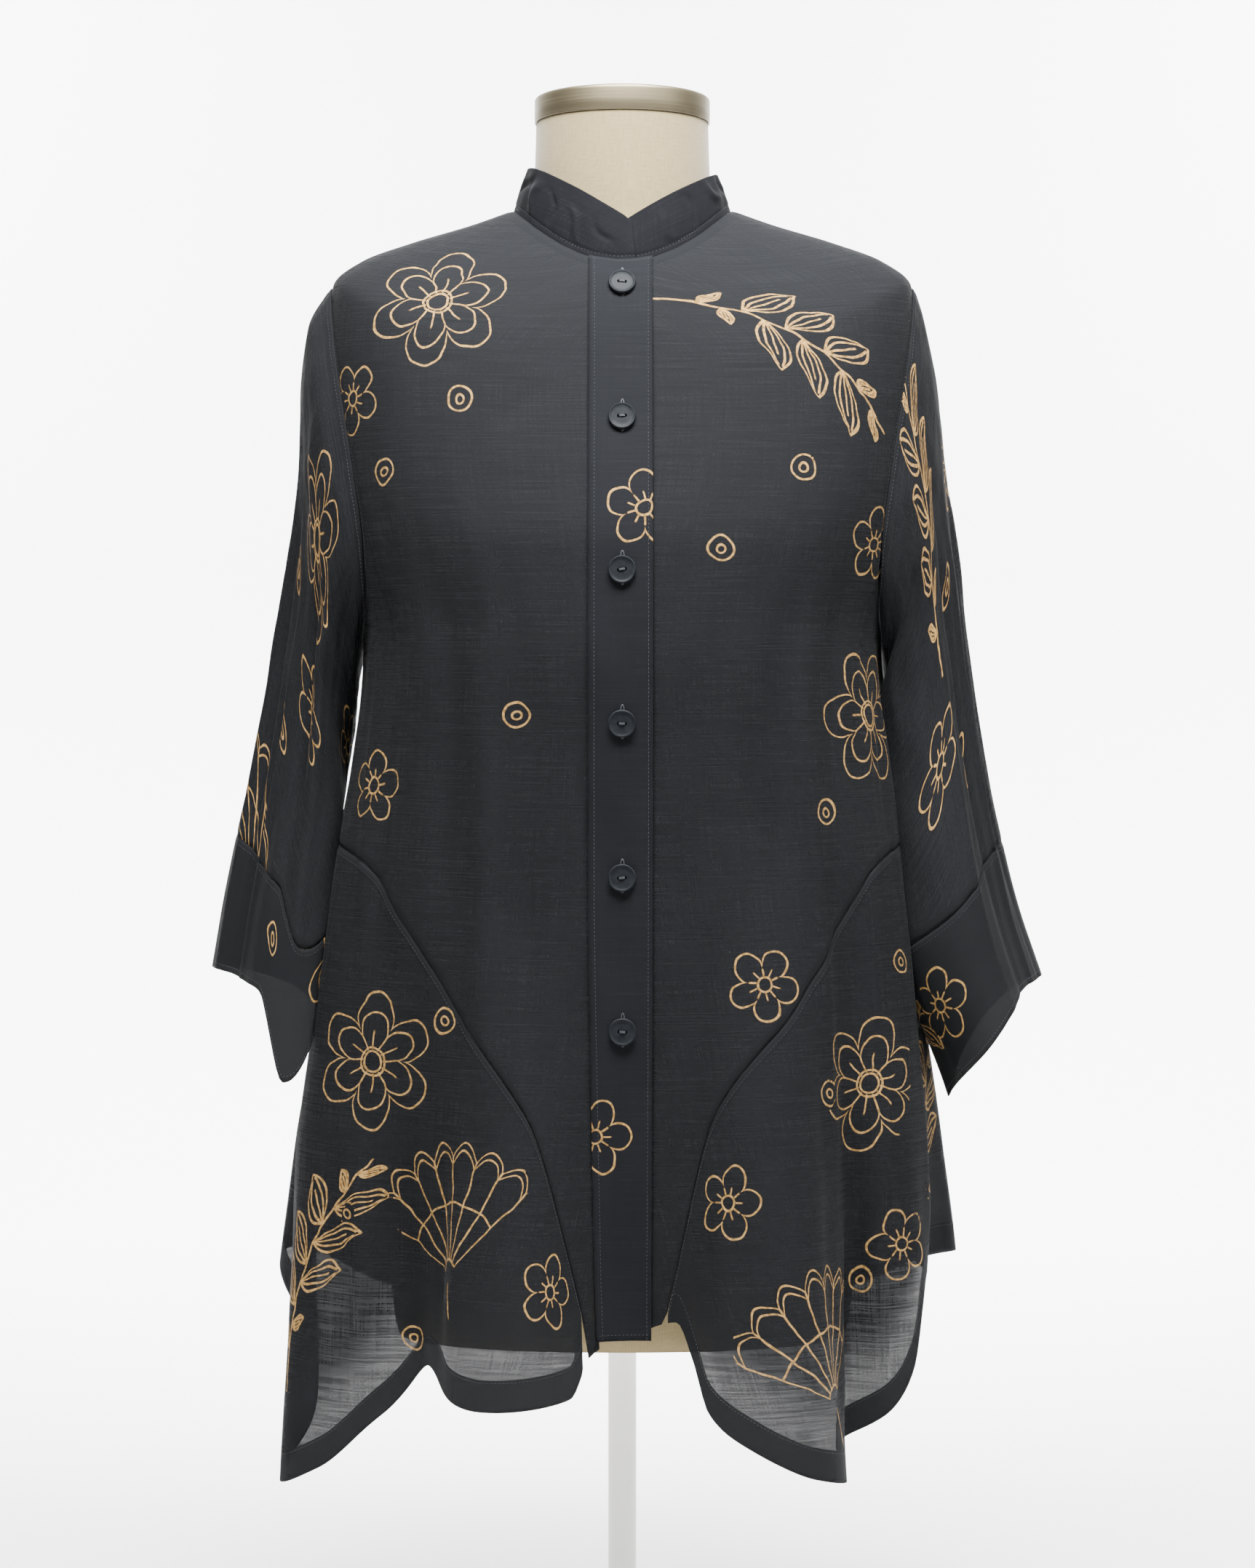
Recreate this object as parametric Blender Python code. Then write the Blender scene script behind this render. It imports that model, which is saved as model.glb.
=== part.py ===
# A band-collar button-up blouse with a pointed hem, worn by a limbless dress form on a short stand.
# Metres, +Z up. The origin is the centre of the stand's underside. The blouse faces -Y.
# Angles run round the form: 0 is centre front (-Y), +90 is the wearer's left side (+X), 180 is centre back.
# A level is a height on the blouse below the underarm. Above it, a level names a ring that
# climbs from the chest over the shoulders to the neckline.

import math

import bmesh
import bpy
import numpy as np

# Cloth and seams
CLOTH = 0.0012
BAND_CLOTH = 0.0014
SEAM_GAP = 0.0003
SLANT_GAP = 0.0004
LAYER_STEP = BAND_CLOTH + SEAM_GAP
SLEEVE_STAND_OFF = 0.0005

# Front closing: distances from the middle, towards the wearer's left where they have no minus
BAND_OVER_FROM_X = -0.0228
BAND_OVER_TO_X = 0.0208
BAND_UNDER_FROM_X = -0.0189
BAND_UNDER_TO_X = 0.0194
BAND_MIDDLE_X = 0.0105
BAND_TOP_DROP = 0.0004
BAND_HEM_DROP = 0.0010
FRONT_EDGE_X = 0.0198

# Stand and dress form
BASE_RADIUS = 0.150
BASE_HEIGHT = 0.014
BASE_CHAMFER = 0.003
BASE_SLOPE = 0.002
HUB_RADIUS = 0.022
HUB_TAPER = 0.004
HUB_HEIGHT = 0.030
POLE_RADIUS = 0.0100
FLANGE_RADIUS = 0.026
FLANGE_HEIGHT = 0.008
FLANGE_EDGE = 0.0048
FORM_BOTTOM = 0.252
NECK_TOP = 1.1115
CAP_HEIGHT = 0.018
CAP_PROUD = 0.0012
CAP_EDGE = 0.0025
CAP_SOFTNESS = 0.3

# Buttons
BUTTON_RADIUS = 0.0094
BUTTON_HEIGHT = 0.0027
BUTTON_RIM = 0.0016
BUTTON_CHAMFER = 0.0006
BUTTON_DISH = 0.0006
BUTTON_HOLE_RADIUS = 0.0009
BUTTON_HOLE_OFFSET = 0.0018
BUTTON_HOLE_SIDES = 8
BUTTON_SIDES = 20
BUTTON_LEVELS = (0.981, 0.888, 0.786, 0.683, 0.579, 0.475)

# Resolution
FRONT_COLUMNS = 16
FRONT_CROWDING = 1.25
BACK_HALF_COLUMNS = 16
SHOULDER_ROWS = 5
ARMHOLE_ROWS = 9
SIDE_ROWS = 5
FLARE_ROWS = 8
SLEEVE_ROWS = 12
CUFF_ROWS = 3
COLLAR_ROWS = 2
CAP_COLUMNS = 36
BASE_SIDES = 48
POLE_SIDES = 24

# Rings of the blouse from neckline to hem, with folds left out
RING_COLUMNS = ("level", "front_z", "side_z", "back_z", "half_width", "front_y", "back_y", "squareness")
RINGS = (
    (1.000, 1.002, 1.049, 1.059, 0.0785, 0.088, 0.066, 2.00),
    (0.985, 0.988, 1.039, 1.053, 0.1060, 0.097, 0.080, 2.05),
    (0.965, 0.968, 1.0255, 1.040, 0.1500, 0.106, 0.093, 2.15),
    (0.945, 0.948, 1.012, 1.020, 0.1850, 0.113, 0.102, 2.30),
    (0.925, 0.927, 0.994, 0.992, 0.2050, 0.119, 0.108, 2.40),
    (0.895, 0.897, 0.945, 0.945, 0.2090, 0.127, 0.112, 2.45),
    (0.850, 0.851, 0.868, 0.872, 0.2040, 0.139, 0.115, 2.45),
    (0.800, 0.800, 0.803, 0.804, 0.1940, 0.149, 0.116, 2.35),
    (0.742, 0.742, 0.742, 0.742, 0.1830, 0.150, 0.115, 2.25),
    (0.660, 0.660, 0.660, 0.660, 0.1910, 0.144, 0.113, 2.20),
    (0.580, 0.580, 0.580, 0.580, 0.2035, 0.139, 0.115, 2.20),
    (0.480, 0.480, 0.480, 0.480, 0.2150, 0.136, 0.122, 2.20),
    (0.380, 0.380, 0.380, 0.380, 0.2225, 0.134, 0.130, 2.20),
    (0.260, 0.260, 0.260, 0.260, 0.2250, 0.132, 0.137, 2.20),
    (0.120, 0.120, 0.120, 0.120, 0.2260, 0.132, 0.140, 2.20),
)

# Largest folds: ridges stand out, troughs lie in; each grows from its start down to the hem
FOLD_COLUMNS = ("angle", "half_angle", "depth", "start", "swell")
FOLDS = (
    (-17.5, 9.5, 0.056, 0.560, 0.50),
    (0.0, 8.0, -0.010, 0.480, 0.00),
    (24.5, 10.5, 0.060, 0.620, 0.40),
    (-41.0, 9.0, -0.024, 0.560, 0.00),
    (45.0, 7.0, -0.030, 0.600, 0.00),
    (-72.0, 13.0, 0.021, 0.700, 0.12),
    (61.0, 9.0, 0.007, 0.640, 0.10),
    (-90.0, 8.0, -0.016, 0.640, 0.00),
    (83.0, 9.0, -0.022, 0.640, 0.00),
    (-106.0, 10.0, 0.047, 0.600, 0.12),
    (107.0, 10.0, 0.038, 0.600, 0.12),
    (-131.0, 8.0, -0.018, 0.520, 0.00),
    (129.0, 8.0, -0.018, 0.520, 0.00),
    (-151.0, 10.0, 0.044, 0.560, 0.20),
    (150.0, 10.0, 0.040, 0.560, 0.20),
    (180.0, 11.0, 0.036, 0.520, 0.18),
)
FOLD_FLOOR = 0.200
FOLD_GROWTH = 1.25
FOLD_LIMIT = 1.3

# Hem height round the blouse
HEM_COLUMNS = ("angle", "height")
HEM = (
    (-180.0, 0.262), (-150.0, 0.268), (-128.0, 0.276), (-108.0, 0.305), (-97.0, 0.268),
    (-84.0, 0.182), (-74.0, 0.155), (-62.0, 0.169), (-48.0, 0.207), (-34.0, 0.244),
    (-19.0, 0.224), (-9.5, 0.229), (-5.5, 0.256), (0.0, 0.266), (8.5, 0.278),
    (11.5, 0.254), (14.5, 0.219), (20.0, 0.199), (27.0, 0.179), (34.0, 0.171),
    (43.0, 0.183), (53.0, 0.205), (60.0, 0.238), (65.0, 0.280),
    (71.0, 0.300), (92.0, 0.306), (106.0, 0.304), (128.0, 0.276), (150.0, 0.266),
    (180.0, 0.262),
)

# Seam between the upper panels and the flared side panels: angle off centre front or back
SEAM_COLUMNS = ("angle", "height")
SEAM_START = 6.8
FRONT_SEAM = ((6.8, 0.2840), (15.0, 0.418), (30.0, 0.492), (45.0, 0.548), (60.0, 0.588), (90.0, 0.606))
BACK_SEAM = ((12.0, 0.2680), (20.0, 0.380), (35.0, 0.478), (50.0, 0.542), (65.0, 0.582), (90.0, 0.606))
BACK_SEAM_START = 12.0
SIDE_SEAM_EASE = 0.02
FLARE_END_TURN = 0.12
FLARE_LEAST = 0.0035

# Armhole: an oval cut in the side of the ring surface
ARMHOLE_TOP = 0.925
ARMHOLE_BOTTOM = 0.742
ARMHOLE_FRONT_ANGLE = 27.0
ARMHOLE_BACK_ANGLE = 30.0

# Sleeve rings: the outer line, the inner line, and the half depth from front to back
SLEEVE_COLUMNS = ("along", "outer_x", "outer_z", "inner_x", "inner_z", "half_depth", "centre_y")
RIGHT_SLEEVE = (
    (0.00, 0.2050, 0.994, 0.1830, 0.742, 0.076, 0.000),
    (0.08, 0.2215, 0.966, 0.1860, 0.727, 0.073, 0.002),
    (0.18, 0.2275, 0.925, 0.1885, 0.708, 0.068, 0.006),
    (0.32, 0.2310, 0.862, 0.1915, 0.680, 0.062, 0.011),
    (0.48, 0.2395, 0.800, 0.1965, 0.645, 0.058, 0.015),
    (0.64, 0.2520, 0.725, 0.2030, 0.604, 0.058, 0.018),
    (0.80, 0.2680, 0.642, 0.2100, 0.557, 0.062, 0.020),
    (0.92, 0.2840, 0.568, 0.2155, 0.515, 0.066, 0.019),
    (1.00, 0.2935, 0.512, 0.2190, 0.487, 0.069, 0.018),
)
LEFT_SLEEVE = (
    (0.00, 0.2050, 0.994, 0.1830, 0.742, 0.076, 0.000),
    (0.08, 0.2180, 0.966, 0.1860, 0.727, 0.073, 0.002),
    (0.18, 0.2255, 0.925, 0.1885, 0.708, 0.068, 0.006),
    (0.32, 0.2320, 0.862, 0.1915, 0.680, 0.062, 0.011),
    (0.48, 0.2395, 0.800, 0.1965, 0.645, 0.058, 0.015),
    (0.64, 0.2485, 0.725, 0.2030, 0.600, 0.060, 0.018),
    (0.80, 0.2625, 0.642, 0.2110, 0.542, 0.066, 0.018),
    (0.92, 0.2830, 0.558, 0.2195, 0.476, 0.071, 0.016),
    (1.00, 0.3000, 0.506, 0.2310, 0.424, 0.074, 0.012),
)
CUFF_START = 0.86
SETTLE_LENGTH = 0.30
SLEEVE_FOLD_GIRTH = 0.045
SLEEVE_FOLD_FULL = 0.9
SLEEVE_FOLD_GROWTH = 1.3
CUFF_POINT_START = 0.45
# Sleeve folds: turn round the sleeve from its outer line towards the front
SLEEVE_FOLD_COLUMNS = ("turn", "half_turn", "depth")
RIGHT_SLEEVE_FOLDS = ((60.0, 30.0, -0.013), (112.0, 32.0, 0.010), (205.0, 32.0, -0.007), (300.0, 34.0, 0.007))
LEFT_SLEEVE_FOLDS = ((48.0, 30.0, -0.009), (104.0, 32.0, 0.009), (200.0, 32.0, -0.007), (295.0, 34.0, 0.008))
# The point that the cuff hangs to: turn, spread and drop
RIGHT_CUFF_POINT = (138.0, 24.0, 0.062)
LEFT_CUFF_POINT = (176.0, 40.0, 0.006)

# Collar band
COLLAR_HEIGHT_FRONT = 0.0270
COLLAR_HEIGHT_BACK = 0.0300
COLLAR_LEAN_FRONT = 0.0105
COLLAR_LEAN_SIDE = 0.0095
COLLAR_LEAN_BACK = 0.0015
COLLAR_INSET = 0.0014
COLLAR_CENTRE_Y = -0.010
COLLAR_FOOT = 0.0012
COLLAR_LAP_EASE = 1.0
COLLAR_SPIRAL_START = 0.80
COLLAR_SPIRAL_LENGTH = 0.10
COLLAR_COLUMNS = 36

# Dress form rings, listed from its flat underside to the neck
FORM_RING_COLUMNS = ("front_z", "side_z", "back_z", "half_width", "front_y", "back_y", "squareness")
FORM_TORSO = (
    (0.252, 0.252, 0.252, 0.158, 0.098, 0.098, 2.2),
    (0.262, 0.262, 0.262, 0.161, 0.101, 0.101, 2.2),
    (0.340, 0.340, 0.340, 0.168, 0.106, 0.108, 2.2),
    (0.420, 0.420, 0.420, 0.162, 0.104, 0.106, 2.2),
    (0.500, 0.500, 0.500, 0.142, 0.097, 0.092, 2.2),
    (0.580, 0.580, 0.580, 0.124, 0.094, 0.080, 2.2),
    (0.640, 0.640, 0.640, 0.126, 0.100, 0.082, 2.2),
    (0.700, 0.700, 0.700, 0.138, 0.118, 0.090, 2.2),
    (0.760, 0.760, 0.760, 0.150, 0.136, 0.098, 2.2),
    (0.800, 0.800, 0.800, 0.156, 0.138, 0.102, 2.2),
    (0.835, 0.860, 0.850, 0.164, 0.133, 0.106, 2.3),
)
FORM_CLEARANCE = 0.0006
FORM_NECK = (
    (0.999, 1.046, 1.058, 0.0740, 0.078, 0.060, 2.0),
    (1.012, 1.054, 1.064, 0.0665, 0.067, 0.057, 2.0),
    (1.036, 1.067, 1.074, 0.0628, 0.061, 0.056, 2.0),
    (1.1115, 1.1115, 1.1115, 0.0612, 0.060, 0.056, 2.0),
)

COLOURS = {
    "cloth": ((0.030, 0.033, 0.037), 0.80, 0.0),
    "band_cloth": ((0.026, 0.030, 0.038), 0.82, 0.0),
    "button": ((0.085, 0.100, 0.115), 0.42, 0.0),
    "form_cover": ((0.700, 0.660, 0.560), 0.85, 0.0),
    "cap_metal": ((0.520, 0.500, 0.440), 0.38, 0.9),
    "stand_metal": ((0.780, 0.780, 0.765), 0.45, 0.0),
}


def column(table, names, name):
    return np.array([row[names.index(name)] for row in table], float)


def smooth(knots, values, at):
    """A smooth curve through the knots: cubic, with no overshoot between them."""
    order = np.argsort(knots)
    x = np.asarray(knots, float)[order]
    y = np.asarray(values, float)[order]
    step = np.diff(x)
    rise = np.diff(y) / step
    slope = np.zeros_like(y)
    same_way = rise[:-1] * rise[1:] > 0
    both = np.where(same_way, rise[:-1] + rise[1:], 1.0)
    slope[1:-1] = np.where(same_way, 2 * rise[:-1] * rise[1:] / both, 0.0)
    slope[0] = rise[0]
    slope[-1] = rise[-1]
    at = np.clip(at, x[0], x[-1])
    left = np.clip(np.searchsorted(x, at, side="right") - 1, 0, len(step) - 1)
    t = (at - x[left]) / step[left]
    ease_in = t * t * (3 - 2 * t)
    start_pull = t * (1 - t) ** 2 * slope[left]
    end_pull = t * t * (1 - t) * slope[left + 1]
    return y[left] * (1 - ease_in) + y[left + 1] * ease_in + step[left] * (start_pull - end_pull)


def ring_value(name, level):
    return smooth(column(RINGS, RING_COLUMNS, "level"), column(RINGS, RING_COLUMNS, name), level)


def on_ring(angle, half_width, front_y, back_y, squareness):
    """Plan position on a rounded ring, which is flatter the squarer it is."""
    turn = np.radians(angle)
    power = 2 / squareness
    across = np.sign(np.sin(turn)) * np.abs(np.sin(turn)) ** power
    ahead = np.sign(np.cos(turn)) * np.abs(np.cos(turn)) ** power
    depth = np.where(ahead > 0, front_y, back_y)
    return half_width * across, -depth * ahead


def ring_height(angle, front_z, side_z, back_z):
    """Height round a ring: front and back heights ease to the side height."""
    ahead = np.cos(np.radians(angle))
    end_z = np.where(ahead > 0, front_z, back_z)
    return side_z + (end_z - side_z) * ahead * ahead


def angle_between(angle, centre):
    return (angle - centre + 180.0) % 360.0 - 180.0


def fold_offsets(angle, height):
    """How far the folds carry the cloth outwards and sideways."""
    outwards = np.zeros(np.broadcast(angle, height).shape)
    sideways = np.zeros_like(outwards)
    for centre, half_angle, depth, start, swell in FOLDS:
        reach = angle_between(angle, centre) / half_angle
        bell = np.exp(-reach * reach)
        grown = np.clip((start - height) / (start - FOLD_FLOOR), 0.0, FOLD_LIMIT) ** FOLD_GROWTH
        outwards = outwards + depth * bell * grown
        sideways = sideways + swell * depth * reach * bell * grown
    return outwards, sideways


def smooth_body(angle, level):
    half_width = ring_value("half_width", level)
    x, y = on_ring(
        angle,
        half_width,
        ring_value("front_y", level),
        ring_value("back_y", level),
        ring_value("squareness", level),
    )
    z = ring_height(angle, ring_value("front_z", level), ring_value("side_z", level), ring_value("back_z", level))
    return np.stack(np.broadcast_arrays(x, y, z), axis=-1)


def body(angle, level):
    """A point of the blouse's body, folds included."""
    angle, level = np.broadcast_arrays(np.asarray(angle, float), np.asarray(level, float))
    place = smooth_body(angle, level)
    ahead = smooth_body(angle + 1.0, level)
    behind = smooth_body(angle - 1.0, level)
    along = (ahead - behind)[..., :2]
    along = along / np.linalg.norm(along, axis=-1, keepdims=True)
    outwards, sideways = fold_offsets(angle, level)
    place[..., 0] += along[..., 1] * outwards + along[..., 0] * sideways
    place[..., 1] += -along[..., 0] * outwards + along[..., 1] * sideways
    return place


def body_normal(angle, level):
    """The outward normal of the blouse's body."""
    angle, level = np.broadcast_arrays(np.asarray(angle, float), np.asarray(level, float))
    turn_step = 0.5
    level_step = 0.002
    top = column(RINGS, RING_COLUMNS, "level").max()
    higher = np.minimum(level + level_step, top)
    round_it = body(angle + turn_step, level) - body(angle - turn_step, level)
    upwards = body(angle, higher) - body(angle, higher - 2 * level_step)
    normal = np.cross(round_it, upwards)
    return normal / np.linalg.norm(normal, axis=-1, keepdims=True)


def hem_height(angle):
    wrapped = (np.asarray(angle, float) + 180.0) % 360.0 - 180.0
    return smooth(column(HEM, HEM_COLUMNS, "angle"), column(HEM, HEM_COLUMNS, "height"), wrapped)


def angle_at_x(x, level):
    """The front angle at which the ring of that level is x from the middle."""
    share = np.abs(x) / ring_value("half_width", level)
    turn = np.degrees(np.arcsin(np.clip(share ** (ring_value("squareness", level) / 2), 0, 1)))
    return np.sign(x) * turn


def armhole_spread(level, widest):
    """Angle from the side line to the armhole's edge at a level."""
    middle = (ARMHOLE_TOP + ARMHOLE_BOTTOM) / 2
    half = (ARMHOLE_TOP - ARMHOLE_BOTTOM) / 2
    return widest * np.sqrt(np.clip(1 - ((level - middle) / half) ** 2, 0, 1))


def side_levels():
    """Row levels down the side line: shoulder seam, armhole and side seam."""
    seam = FRONT_SEAM[-1][1]
    neck = RINGS[0][0]
    shoulder = np.linspace(neck, ARMHOLE_TOP, SHOULDER_ROWS + 1)
    turn = np.linspace(0, math.pi, ARMHOLE_ROWS + 1)
    half = (ARMHOLE_TOP - ARMHOLE_BOTTOM) / 2
    armhole = ARMHOLE_BOTTOM + half + half * np.cos(turn)
    side = np.linspace(ARMHOLE_BOTTOM, seam, SIDE_ROWS + 1)
    return np.concatenate([shoulder, armhole[1:], side[1:]])


def row_shares():
    levels = side_levels()
    return (levels[0] - levels) / (levels[0] - levels[-1])


def seam_gap_angle(level):
    """The half gap of an upright seam at the side, as an angle."""
    return np.degrees(SEAM_GAP / 2 / ring_value("front_y", level)) + SIDE_SEAM_EASE


def new_mesh_object(name, vertices, faces, colour, sharp_degrees=40.0):
    mesh = bpy.data.meshes.new(name)
    mesh.from_pydata([tuple(v) for v in vertices], [], faces)
    mesh.validate()
    mesh.shade_smooth()
    mesh.set_sharp_from_angle(angle=math.radians(sharp_degrees))
    made = bpy.data.objects.new(name, mesh)
    mesh.materials.append(material(colour))
    bpy.context.scene.collection.objects.link(made)
    return made


def material(name):
    found = bpy.data.materials.get(name)
    if found:
        return found
    colour, roughness, metallic = COLOURS[name]
    made = bpy.data.materials.new(name)
    made.use_nodes = True
    shader = made.node_tree.nodes["Principled BSDF"]
    shader.inputs["Base Color"].default_value = (*colour, 1.0)
    shader.inputs["Roughness"].default_value = roughness
    shader.inputs["Metallic"].default_value = metallic
    return made


def halves(points, a, b, c, d):
    """Two triangles of a four-sided patch, split along its shorter diagonal."""
    if math.dist(points[a], points[c]) <= math.dist(points[b], points[d]):
        return (a, b, c), (a, c, d)
    return (a, b, d), (b, c, d)


def wall(name, middle, normal, thickness, colour, closed=False):
    """A closed wall of cloth round a grid of points; rows run down and columns run round."""
    rows, columns = middle.shape[:2]
    outer = middle + normal * thickness / 2
    inner = middle - normal * thickness / 2
    vertices = np.concatenate([outer.reshape(-1, 3), inner.reshape(-1, 3)])
    flat = middle.reshape(-1, 3)
    back = rows * columns

    def at(row, col, side=0):
        return side * back + row * columns + col % columns

    faces = []
    spans = columns if closed else columns - 1
    for row in range(rows - 1):
        for col in range(spans):
            patch = (at(row, col), at(row + 1, col), at(row + 1, col + 1), at(row, col + 1))
            for triangle in halves(flat, *patch):
                faces.append(triangle)
                faces.append(tuple(back + corner for corner in triangle[::-1]))
    for col in range(spans):
        last = rows - 1
        faces.append((at(0, col), at(0, col + 1), at(0, col + 1, 1), at(0, col, 1)))
        faces.append((at(last, col), at(last, col, 1), at(last, col + 1, 1), at(last, col + 1)))
    if not closed:
        end = columns - 1
        for row in range(rows - 1):
            faces.append((at(row, 0), at(row, 0, 1), at(row + 1, 0, 1), at(row + 1, 0)))
            faces.append((at(row, end), at(row + 1, end), at(row + 1, end, 1), at(row, end, 1)))
    return new_mesh_object(name, vertices, faces, colour)


def front_columns(side):
    """Bottom angles of a front panel's columns, from the closing to the side seam."""
    inner = abs(angle_at_x(FRONT_EDGE_X, hem_height(side * SEAM_START)))
    # Columns stand closer together near the closing, where the front's folds are.
    beyond = SEAM_START + (90.0 - SEAM_START) * np.linspace(0, 1, FRONT_COLUMNS) ** FRONT_CROWDING
    return np.concatenate([[inner], beyond])


def seam_line(table, angles):
    """Height of a slanting seam, and half its upright gap: wider where the seam is steeper."""
    height = smooth(column(table, SEAM_COLUMNS, "angle"), column(table, SEAM_COLUMNS, "height"), angles)
    steepness = np.gradient(height, np.radians(angles) * RINGS[-1][4])
    return height, SLANT_GAP / 2 * np.sqrt(1 + steepness * steepness)


def front_grid(side):
    """Angles and levels of an upper front: rows from its neckline down, columns from the closing out."""
    angles = front_columns(side)
    shares = (angles - angles[0]) / (90.0 - angles[0])
    seam, half_gap = seam_line(FRONT_SEAM, angles)
    lowest = np.where(angles < SEAM_START - 0.01, hem_height(side * angles), seam + half_gap)
    top = RINGS[0][0]
    level = top + (lowest[None, :] - top) * row_shares()[:, None]
    inner = np.abs(angle_at_x(FRONT_EDGE_X, level[:, :1])) - angles[0]
    outer = -armhole_spread(level[:, -1:], ARMHOLE_FRONT_ANGLE) - seam_gap_angle(level[:, -1:])
    angle = angles + inner * (1 - shares) + outer * shares
    return side * angle, level


def front_panel(name, side):
    """An upper front: neckline and shoulder seam on top, armhole and side seam outside, slanting seam below."""
    angle, level = front_grid(side)
    return body_wall(name, angle, level, side, "cloth")


def body_wall(name, angle, level, side, colour, lift=0.0, thickness=CLOTH):
    """A wall on the body's surface. Side is -1 where the angles run backwards round it."""
    if side < 0:
        angle = angle[:, ::-1]
        level = level[:, ::-1]
    normal = body_normal(angle, level)
    return wall(name, body(angle, level) + normal * lift, normal, thickness, colour)


def back_columns():
    """Half of the back panel's bottom angles, from centre back to the side seam."""
    return np.concatenate([[0.0, BACK_SEAM_START / 2], np.linspace(BACK_SEAM_START, 90.0, BACK_HALF_COLUMNS)])


def back_lowest(away, side):
    seam, half_gap = seam_line(BACK_SEAM, away)
    at_hem = away < BACK_SEAM_START - 0.01
    return np.where(at_hem, hem_height(side * (180.0 - away)), seam + half_gap)


def back_grid():
    """Angles and levels of the back: columns from the left side seam round to the right."""
    away = back_columns()
    shares = away / 90.0
    drop = row_shares()[:, None]
    top = RINGS[0][0]
    halves = []
    for side in (1, -1):
        level = top + (back_lowest(away, side)[None, :] - top) * drop
        edge = level[:, -1:]
        reach = away - (armhole_spread(edge, ARMHOLE_BACK_ANGLE) + seam_gap_angle(edge)) * shares
        halves.append((180.0 - side * reach, level))
    left, right = halves
    angle = np.concatenate([left[0][:, ::-1], right[0][:, 1:]], axis=1)
    level = np.concatenate([left[1][:, ::-1], right[1][:, 1:]], axis=1)
    return angle, level


def back_panel():
    """The back, cut in one piece from side seam to side seam."""
    angle, level = back_grid()
    return body_wall("back", angle, level, 1, "cloth")


def side_panel(name, side):
    """The flared lower panel under one arm, from the front seam round to the back seam."""
    front = front_columns(side)[1:]
    back = back_columns()[2:]
    front_seam, front_gap = seam_line(FRONT_SEAM, front)
    back_seam, back_gap = seam_line(BACK_SEAM, back)
    angle = np.concatenate([front, (180.0 - back[:-1])[::-1]])
    top = np.concatenate([front_seam - front_gap, (back_seam - back_gap)[:-1][::-1]])
    bottom = np.minimum(hem_height(side * angle), top - FLARE_LEAST)
    # The ends stand clear of the strips of front and back that reach the hem.
    angle[0] += FLARE_END_TURN
    angle[-1] -= FLARE_END_TURN
    drop = np.linspace(0, 1, FLARE_ROWS + 1)[:, None]
    level = top[None, :] + (bottom - top)[None, :] * drop
    return body_wall(name, side * np.broadcast_to(angle, level.shape), level, side, "cloth")


def button_band(name, x_from, x_to, lift):
    """A straight band down the closing, edges a set distance from the middle."""
    drop = row_shares()
    top = RINGS[0][0] - BAND_TOP_DROP
    across = np.array([x_from, -BAND_MIDDLE_X, 0.0, BAND_MIDDLE_X, x_to])
    lowest = hem_height(0.0) - BAND_HEM_DROP
    level = top + (lowest - top) * drop[:, None] + np.zeros((1, len(across)))
    angle = angle_at_x(across[None, :], level)
    return body_wall(name, angle, level, 1, "band_cloth", lift, BAND_CLOTH)


def armhole_ring(side):
    """The armhole's edge as (angle, level, turn): outer line first, then the front, inner line and back."""
    turn = np.linspace(0, math.pi, ARMHOLE_ROWS + 1)
    half = (ARMHOLE_TOP - ARMHOLE_BOTTOM) / 2
    level = ARMHOLE_BOTTOM + half + half * np.cos(turn)
    front = 90.0 - armhole_spread(level, ARMHOLE_FRONT_ANGLE)
    back = 90.0 + armhole_spread(level, ARMHOLE_BACK_ANGLE)
    angles = np.concatenate([front, back[-2:0:-1]])
    levels = np.concatenate([level, level[-2:0:-1]])
    turns = np.concatenate([turn, 2 * math.pi - turn[-2:0:-1]])
    return side * angles, levels, np.degrees(turns)


def sleeve_points(side, table, folds, point, turn, along, edge):
    """Points of a sleeve: rings spanned between its outer and inner lines, settled from the armhole's edge."""
    knots = column(table, SLEEVE_COLUMNS, "along")
    value = {name: smooth(knots, column(table, SLEEVE_COLUMNS, name), along) for name in SLEEVE_COLUMNS[1:]}
    outer_x, outer_z = value["outer_x"], value["outer_z"]
    inner_x, inner_z = value["inner_x"], value["inner_z"]
    bend = np.cos(np.radians(turn))
    reach = np.sin(np.radians(turn))
    folded = np.zeros(np.broadcast(turn, along).shape)
    for centre, half_turn, depth in folds:
        away = angle_between(turn, centre) / half_turn
        grown = np.clip(along / SLEEVE_FOLD_FULL, 0, 1) ** SLEEVE_FOLD_GROWTH
        folded = folded + depth * np.exp(-away * away) * grown
    swell_x = 1 + folded / SLEEVE_FOLD_GIRTH
    x = (outer_x + inner_x) / 2 + (outer_x - inner_x) / 2 * bend * swell_x
    z = (outer_z + inner_z) / 2 + (outer_z - inner_z) / 2 * bend
    y = value["centre_y"] - value["half_depth"] * reach * swell_x
    centre, spread, drop = point
    hang = np.exp(-((angle_between(turn, centre) / spread) ** 2))
    z = z - drop * hang * np.clip((along - CUFF_POINT_START) / (1 - CUFF_POINT_START), 0, 1) ** 2
    free = np.stack(np.broadcast_arrays(side * x, y, z), axis=-1)
    start = sleeve_start(table, turn, side)
    kept = np.clip(1 - along / SETTLE_LENGTH, 0, 1)
    kept = (kept * kept * (3 - 2 * kept))[..., None]
    return free + (edge - start) * kept


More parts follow.
